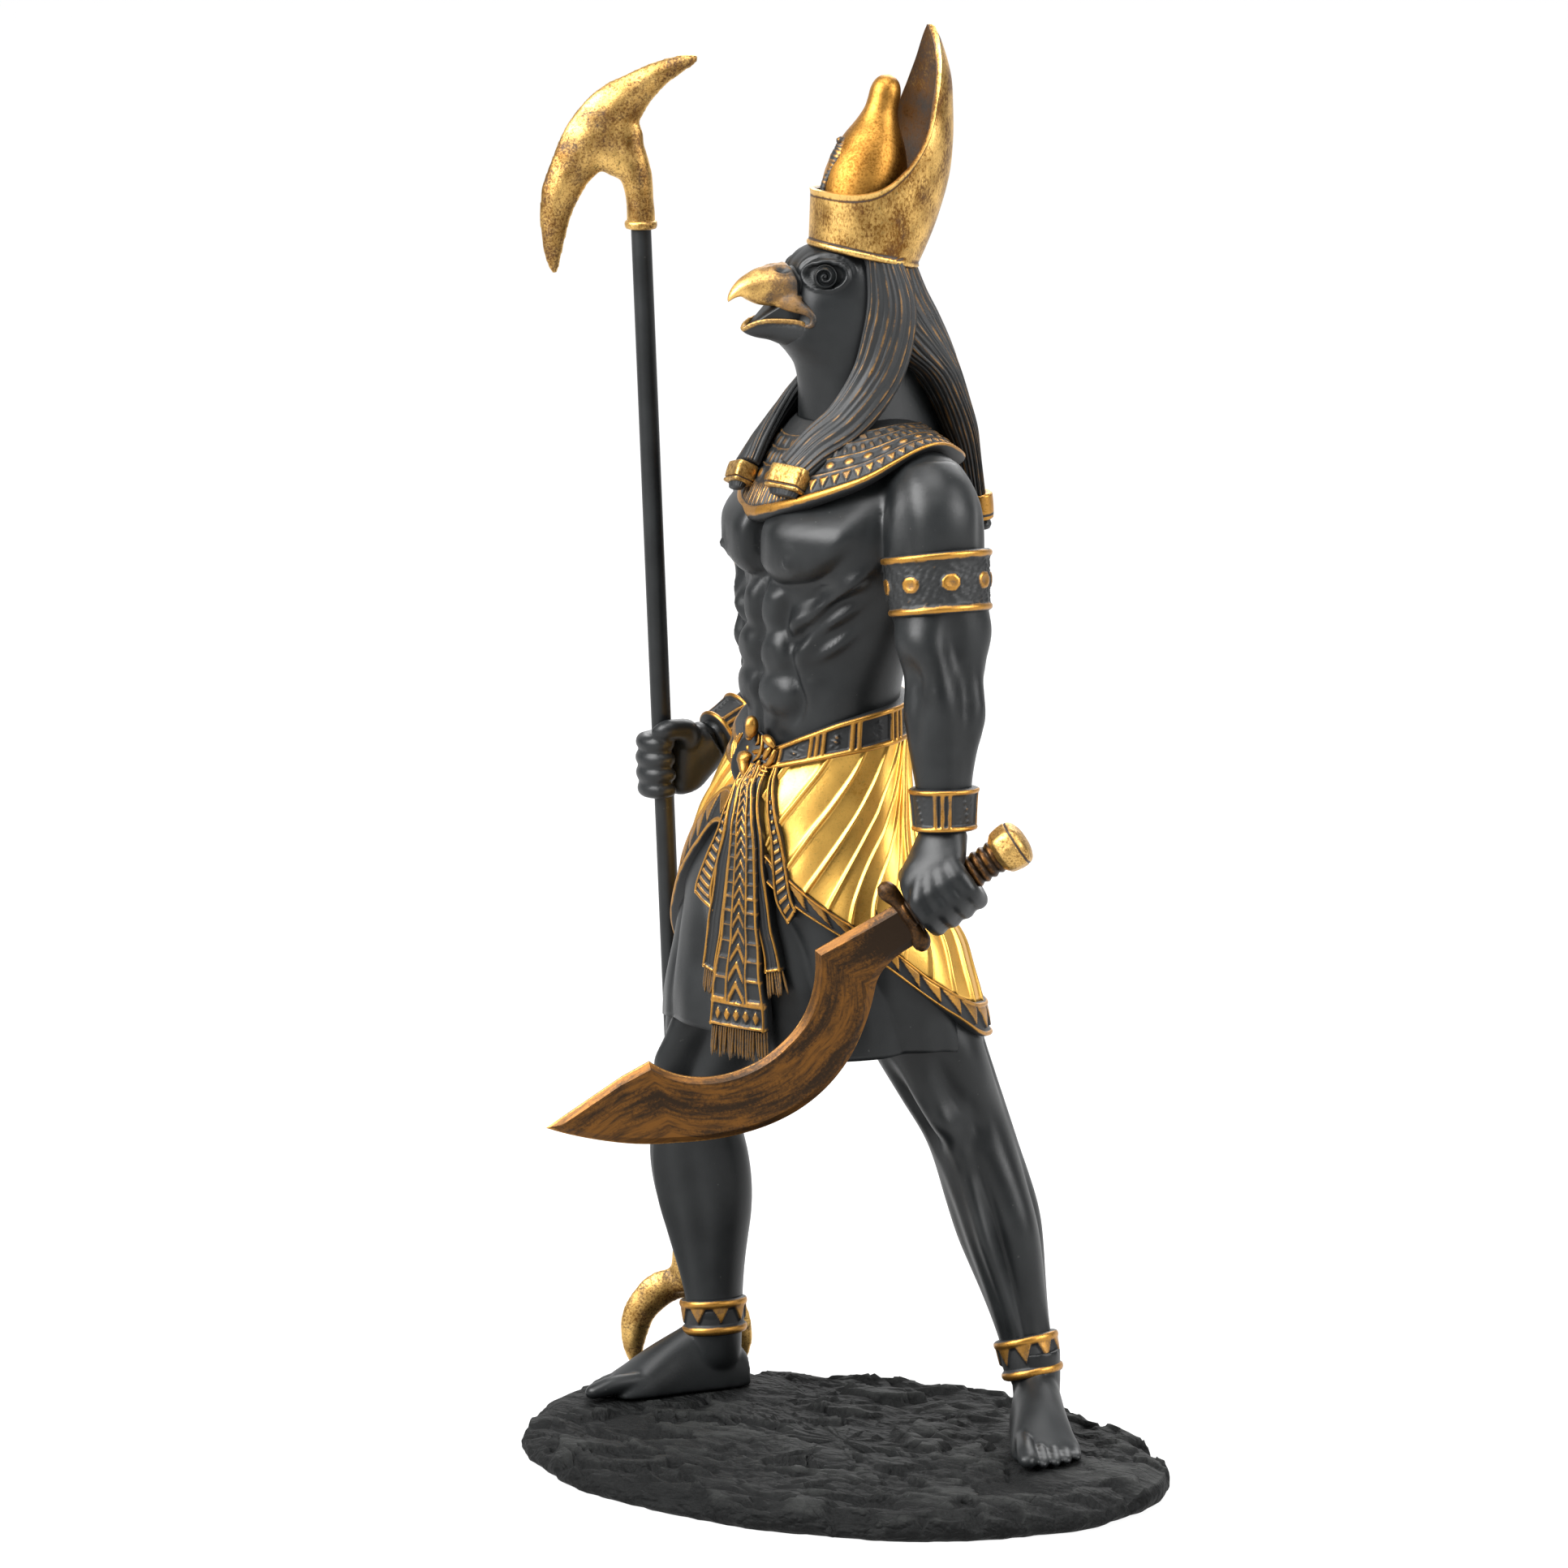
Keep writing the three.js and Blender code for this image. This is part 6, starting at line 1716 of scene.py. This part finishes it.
def makeStaff():
    # the rod, the crest with its stem and socket, and the foot of two prongs and a neck
    headFoot = staff["headRise"] - 0.2
    rod = np.linspace(staff["forkTop"] + staff["gap"], headFoot - staff["gap"], 60)
    piece = addLoft("rod", staffRound(rod, rodRadius), "black", crease=50)
    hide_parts("staff_rod")
    crest, stem = ([onView(p, staff["headRise"] + q) for p, q in staff[key]]
                   for key in ("crescent", "stem"))
    grids = [tube(crest, staff["crescentSize"], 150, 64, viewAway, lens),
             tube(stem, staff["stemSize"], 60, 48, viewAway)]

    def carve(points, normals):
        # uneven casting, and a painted highlight where the skin turns away from the view, along the
        # outline that the camera sees
        rough = ripple(points, 11, 81) * 0.12 + ripple(points, 4, 82) * 0.05
        edge = np.abs(normals @ viewAway)
        return rough, {"raised": 0.72 + 0.1 * ripple(points, 7, 83) + 0.2 * fall(edge, 0.2, 0.7)}

    piece = fuse("staffCrest", grids, 0.6, 3, "staff", carve)
    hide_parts("staff_head")
    lift, radius = np.array(staff["socket"]).T
    grid = staffRound(lift + staff["headRise"] - 0.2, radius[:, None, None])
    addLoft("staffSocket", grid, "staff", {"raised": np.full(grid.shape[:2], 0.8)})
    grids = []
    for hand in (-1, 1):
        prong = [onView(side * hand, lift) for side, lift in staff["prong"]]
        grids.append(tube(prong, staff["prongSize"], 90, 48, viewAway, lens))
    neck = [onView(0, lift) for lift in (staff["forkTop"], 24, 18.5)]
    grids.append(tube(neck, staff["neckSize"], 40, 48, viewAway))
    piece = fuse("staffFoot", grids, 0.5, 3, "staff", carve)
    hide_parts("staff_fork")


# Sword: the blade's outline lies in the grip's upright plane, as distance from the guard and height
sword = {
    "thick": 2.8,
    "bevel": 1.5,
    "inner": [[(4.6, 6.4), (-15.6, -5.4)], [(-15.6, -5.4), (-14.6, -17.6), (-22.4, -24.8)],
              [(-22.4, -24.8), (-28.6, -31.2), (-40.4, -35), (-49.4, -28.6)],
              [(-49.4, -28.6), (-55, -31.8)], [(-55, -31.8), (-70.2, -42.4)]],
    "outer": [[(7, -3), (-2.6, -7.6), (-3.4, -13.4)], [(-3.4, -13.4), (-4.8, -20.8), (-8.2, -27.2)],
              [(-8.2, -27.2), (-16.4, -41.6), (-31, -45), (-44, -45.6)],
              [(-44, -45.6), (-50, -46.2), (-55.4, -45.6)],
              [(-55.4, -45.6), (-63, -44.8), (-70.4, -42.6)]],
    "rows": [26, 30, 46, 12, 26],
    "swell": [0.25, 0.62, 0.98, 1, 1, 1, 0.98, 0.62, 0.25],       # thickness across the blade
    "guardSize": [[0, 0.7, 0.7], [0.05, 1.6, 1.5], [0.14, 2, 2.1], [0.32, 1.5, 2.3], [0.5, 1.6, 3.4],
                  [0.68, 1.5, 2.3], [0.86, 2, 2.1], [0.95, 1.6, 1.5], [1, 0.7, 0.7]],
    "guardHalf": 8.2,
    "guardBow": 1.4,
    "gripEnds": (-7.2, 15),
    "rings": 1.75,                   # from one ring of the grip to the next
    "pommel": [[14.3, 3.2], [14.8, 3.7], [15.6, 4.45], [17.4, 4.85], [18.9, 4.9], [19.3, 4.7],
               [19.5, 4.75], [20.4, 4.2], [21, 3.1], [21.4, 1.6], [21.5, 0.2]],
    "groove": 19.35,                 # how far along the grip the pommel's groove is
}


def bend(points, count):
    # a Bezier curve of any degree through its first and last point
    t = np.linspace(0, 1, count)[:, None]
    points = [np.array(p, float) for p in points]
    while len(points) > 1:
        points = [p * (1 - t) + q * t for p, q in zip(points, points[1:])]
    return points[0]


def onGrip(slide):
    # the place this far along the grip from its middle
    return gripCentre + gripWay * np.asarray(slide, float)[..., None]


def makeBlade():
    # two sheets between the inner and the outer outline, thinned to an edge along both by the bevel
    inner, outer = (np.concatenate([bend(p, n) for p, n in zip(sword[side], sword["rows"])])
                    for side in ("inner", "outer"))
    root, half = onGrip(np.float64(-11)), sword["thick"] / 2
    wide = np.linalg.norm(outer - inner, axis=1, keepdims=True)
    k = np.minimum(sword["bevel"] / np.maximum(wide, 0.1), 0.45)
    quarter = (1 - 2 * k) * 0.25
    shares = np.hstack([0 * k, k * 0.5, k, k + quarter, 0.5 + 0 * k, 1 - k - quarter, 1 - k, 1 - k * 0.5,
                        1 + 0 * k])
    depth = np.array(sword["swell"])[None, :] * half * np.minimum(1, wide / 4)
    flat = inner[:, None] + (outer - inner)[:, None] * shares[..., None]
    sheet = root + viewRight * flat[..., :1] + up * flat[..., 1:]
    out = np.cross(viewRight, up) * depth[..., None]
    grid = np.concatenate([sheet + out, (sheet - out)[:, ::-1]], 1)
    edge = np.minimum(shares, 1 - shares) * wide
    guardFar = np.linalg.norm(flat - flat[0, 4], axis=-1)
    raised = 0.3 + 0.5 * fall(edge, 0.2, 1) - 0.7 * fall(guardFar, 6, 18) + 0.12 * rise(guardFar, 40, 75)
    middle = (inner + outer) / 2
    runs = np.cumsum(np.append(0, np.linalg.norm(np.diff(middle, axis=0), axis=1)))[:, None] + 0 * edge
    marks = {"raised": raised, "runs": runs, "across": shares * wide}
    marks = {key: np.concatenate([value, value[:, ::-1]], 1) for key, value in marks.items()}
    blade = addLoft("blade", grid, "sword", marks, crease=22)
    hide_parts("sickle_sword")


def lathe(name, slides, radii, finish, raised, lobes=0.0):
    # rounds about the grip, with eight shallow lobes
    across = unitOf(np.cross(gripWay, viewAway))
    a = turns(52)[None, :]
    r = radii[:, None] * (1 + lobes * np.cos(a * 8))
    spot = (onGrip(slides)[:, None] + across * (np.sin(a) * r)[..., None]
            + viewAway * (np.cos(a) * r)[..., None])
    even = 0 * r + 0 * a
    marks = {"raised": raised[:, None] + even, "across": slides[:, None] + even, "runs": a * 9 + even}
    addLoft(name, spot, finish, marks)


def makeHilt():
    # a ringed grip, a pommel with one groove, and a bowed guard that is thickest in its middle
    slide = np.linspace(*sword["gripEnds"], 130)
    wrap = (0.5 + 0.5 * np.cos(slide * 2 * np.pi / sword["rings"])) ** 0.7
    lathe("grip", slide, gripRadius - 0.42 + 0.42 * wrap, "sword", -0.5 + 0.9 * wrap)
    slide = np.linspace(sword["pommel"][0][0], sword["pommel"][-1][0], 52)
    raised = 0.8 - 0.8 * bump(slide - sword["groove"], 0.16)
    lathe("pommel", slide, along(sword["pommel"], slide), "staff", raised, 0.022)
    across = unitOf(np.cross(gripWay, viewAway))
    half, bow = sword["guardHalf"], sword["guardBow"]
    bar = [gripCentre + gripWay * (sword["gripEnds"][0] - bow * share * share) + across * share * half
           for share in np.linspace(-1, 1, 9)]
    rows, sides = 76, 40
    a = turns(sides)[None, :]
    # lighter along both long sides of the guard's outline as the camera sees it: a painted highlight
    raised = 0.45 + 0.25 * bump(np.abs(np.abs(a) - np.pi / 2), 0.5) * np.ones((rows, 1)) - 0.3
    marks = {"raised": raised, "runs": 0 * raised, "across": 0 * raised}
    addLoft("guard", tube(bar, sword["guardSize"], rows, sides, viewAway), "sword", marks)


makeStaff()
makeBlade()
makeHilt()
print("staff and sword made")


# Base: an oval of flaky rock, each flake a tilted plate of its own
rock = {
    "relief": 1.9,
    "flakes": [(130, 1.0, 0.1), (900, 0.45, 0.19)],      # how many, how far up or down, how tilted
    "columns": 300,
    "topRows": 82,
    "thick": 6.0,
    "inset": 0.992,
    "rim": 0.985,
    "stands": [  # calm ground from one place to another, and its reach: both feet and the fork
        ((-35.6, 28.4), (-62.5, 3), 7.5), ((31.6, 27.4), (51, -5), 7.5),
        ((-60.5, 23.2), (-38.5, 33.4), 3),
    ],
    "side": [(0.16, 1.006), (0.34, 1.012), (0.52, 1.014), (0.7, 1.01), (0.86, 1.0), (1.0, 0.985)],
}


def plates(points, centres, tilt, heights):
    # height of the tilted plate whose centre is nearest,
    # for each point in the plane, in parts to spare memory
    nearest = np.empty(len(points), int)
    for start in range(0, len(points), 4000):
        part = points[start:start + 4000]
        far = ((part[:, None] - centres) ** 2 * [0.35, 1]).sum(-1)
        nearest[start:start + 4000] = far.argmin(1)
    away = points - centres[nearest]
    return heights[nearest] + (away * tilt[nearest]).sum(1)


def calmOf(spots):
    # 0 beside the line of a stand, 1 beyond its reach
    calm = np.ones(spots.shape[:2])
    for start, end, reach in rock["stands"]:
        p, q = np.array(start), np.array(end)
        t = np.clip(((spots - p) @ (q - p)) / ((q - p) @ (q - p)), 0, 1)
        far = np.linalg.norm(spots - (p + (q - p) * t[..., None]), axis=-1)
        calm = np.minimum(calm, rise(far, reach - 2.5, reach + 3))
    return calm


def makeRock():
    # rows from the middle to the rim, raised by two sizes of
    # plates and dropping at the rim, then the chipped side
    half = np.array([baseHigh.x - baseLow.x, baseHigh.y - baseLow.y]) / 2 / mm * rock["inset"]
    centre = np.array([baseHigh.x + baseLow.x, baseHigh.y + baseLow.y]) / 2 / mm
    a = turns(rock["columns"])
    circle = np.column_stack([np.cos(a), np.sin(a)])
    rim = 1 + 0.006 * np.sin(5 * a + 0.6) + 0.006 * np.sin(11 * a) + 0.004 * np.sin(17 * a + 2)
    share = np.sqrt(np.linspace(0.0004, 1, rock["topRows"]))[:, None]
    spots = circle * half * share[..., None] * rim[:, None] * rock["rim"] + centre
    flat = spots.reshape(-1, 2)
    total = np.zeros(len(flat))
    for count, size, lean in rock["flakes"]:
        middles = chance.uniform(-1, 1, (count, 2)) * half
        tilts = chance.normal(0, lean, (count, 2)) * [0.6, 1.2]
        total += plates(flat, middles, tilts, chance.uniform(-0.5, 0.5, count) * size)
    total += ripple(np.column_stack([flat, 0 * flat[:, 0]]), 24, 92) * 0.5
    total = total.reshape(spots.shape[:2])
    relief, calm = total * rock["relief"] * 0.62 - 0.45, calmOf(spots)
    drop = 1.6 * rise(share, 0.93, 1.0)
    z = np.minimum(relief, 0.75) * calm + 0.25 * (1 - calm) - drop + rock["thick"]
    rows = [np.dstack([spots, z])]
    for down, swell in rock["side"]:
        uneven = ripple(np.column_stack([circle * [71, 49], down * 9 + 0 * a]), 5, 94)
        grow = swell * (1 + 0.006 * uneven) * rock["rim"]
        ring = circle * half * rim[:, None] * grow[:, None] + centre
        rows.append(np.column_stack([ring, z[-1] * (1 - down)])[None])
    chips = ripple(np.column_stack([circle * [60, 40], 0 * a]), 9, 93)
    high = np.concatenate([total * 0.45 + 0.45, np.full((len(rock["side"]), a.size), 0.4) + chips * 0.2])
    points, faces = loft(np.concatenate(rows) * mm)
    piece = addPiece("rockBase", points, faces, "rock", {"raised": np.clip(high, 0, 1)}, placed=True)
    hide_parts("rock_base")


makeRock()
print("base made")


# Stage: pale floor that curves up behind, soft lights and the camera at the photograph's angle
view = {"azimuth": 26, "elevation": 11.5, "distance": 1.5, "lens": 168.75,
        "target": (-0.01031, -0.00503, 0.1447)}
lampTarget = (0, 0, 0.15)
lamps = [  # azimuth and elevation, distance, side and watts
    ("keyLamp", -36, 36, 1.2, 0.8, 34.0), ("fillLamp", 92, 26, 1.3, 0.7, 18.0),
    ("topLamp", 20, 76, 1.2, 0.8, 14.0), ("rimLamp", 191, 38, 1.2, 0.8, 12.0),
]
floorFacts = {"flat": 0.6, "front": -2.5, "back": 1.8, "curve": 0.9, "wall": 2.2, "halfWidth": 3.0}


def aimed(name, thing, target, azimuth, elevation, distance):
    # a camera or lamp this far from its target, at these degrees round and up, and turned to it
    a, e = math.radians(azimuth), math.radians(elevation)
    way = Vector((math.sin(a) * math.cos(e), -math.cos(a) * math.cos(e), math.sin(e)))
    holder = bpy.data.objects.new(name, thing)
    holder.location = Vector(target) + way * distance
    holder.rotation_euler = (-way).to_track_quat("-Z", "Y").to_euler()
    bpy.context.scene.collection.objects.link(holder)
    return holder


def makeFloor():
    # level round the figure and curving up behind it, seen from the camera
    facts, a = floorFacts, math.radians(view["azimuth"])
    far, curve = np.linspace(0, 1, 60), facts["curve"]
    level = facts["flat"]
    turn = np.clip(far - level, 0, 1 - level) / (1 - level) * np.pi / 2
    reach = np.where(far < level, facts["front"] + far / level * (facts["back"] - facts["front"]),
                     facts["back"] + curve * np.sin(turn))
    climb = curve * (1 - np.cos(turn)) + facts["wall"] * (far == 1)
    away, across = np.array([-math.sin(a), math.cos(a)]), np.array([math.cos(a), math.sin(a)])
    rows = [[*(away * r + across * facts["halfWidth"] * side), h] for r, h in zip(reach, climb)
            for side in (-1, 1)]
    faces = [(2 * k, 2 * k + 1, 2 * k + 3, 2 * k + 2) for k in range(len(far) - 1)]
    mesh = bpy.data.meshes.new("floor")
    mesh.from_pydata(rows, [], faces)
    mesh.polygons.foreach_set("use_smooth", np.ones(len(faces), bool))
    floor = bpy.data.objects.new("floor", mesh)
    bpy.context.scene.collection.objects.link(floor)
    mesh.materials.append(Paint("palePaper").finish({"Base Color": (0.12, 0.12, 0.12, 1),
                                                     "Roughness": 0.9,
                                                     "Emission Color": (1, 1, 1, 1),
                                                     "Emission Strength": 0.9}))


def makeStage():
    # camera, floor, lamps and a dim sky
    camera = bpy.data.cameras.new("camera")
    camera.lens, camera.sensor_width = view["lens"], 36
    camera.clip_start, camera.clip_end = 0.05, 30
    bpy.context.scene.camera = aimed("camera", camera, view["target"], view["azimuth"], view["elevation"],
                                     view["distance"])
    makeFloor()
    for name, azimuth, elevation, distance, size, power in lamps:
        lamp = bpy.data.lights.new(name, "AREA")
        lamp.shape, lamp.size, lamp.energy = "SQUARE", size, power
        aimed(name, lamp, lampTarget, azimuth, elevation, distance)
    sky = bpy.data.worlds.new("studio")
    sky.use_nodes = True
    shade = sky.node_tree.nodes["Background"]
    shade.inputs["Color"].default_value = (0.93, 0.94, 0.95, 1)
    shade.inputs["Strength"].default_value = 0.14
    bpy.context.scene.world = sky
    bpy.context.scene.view_settings.view_transform = "Standard"


makeStage()
print("stage ready")
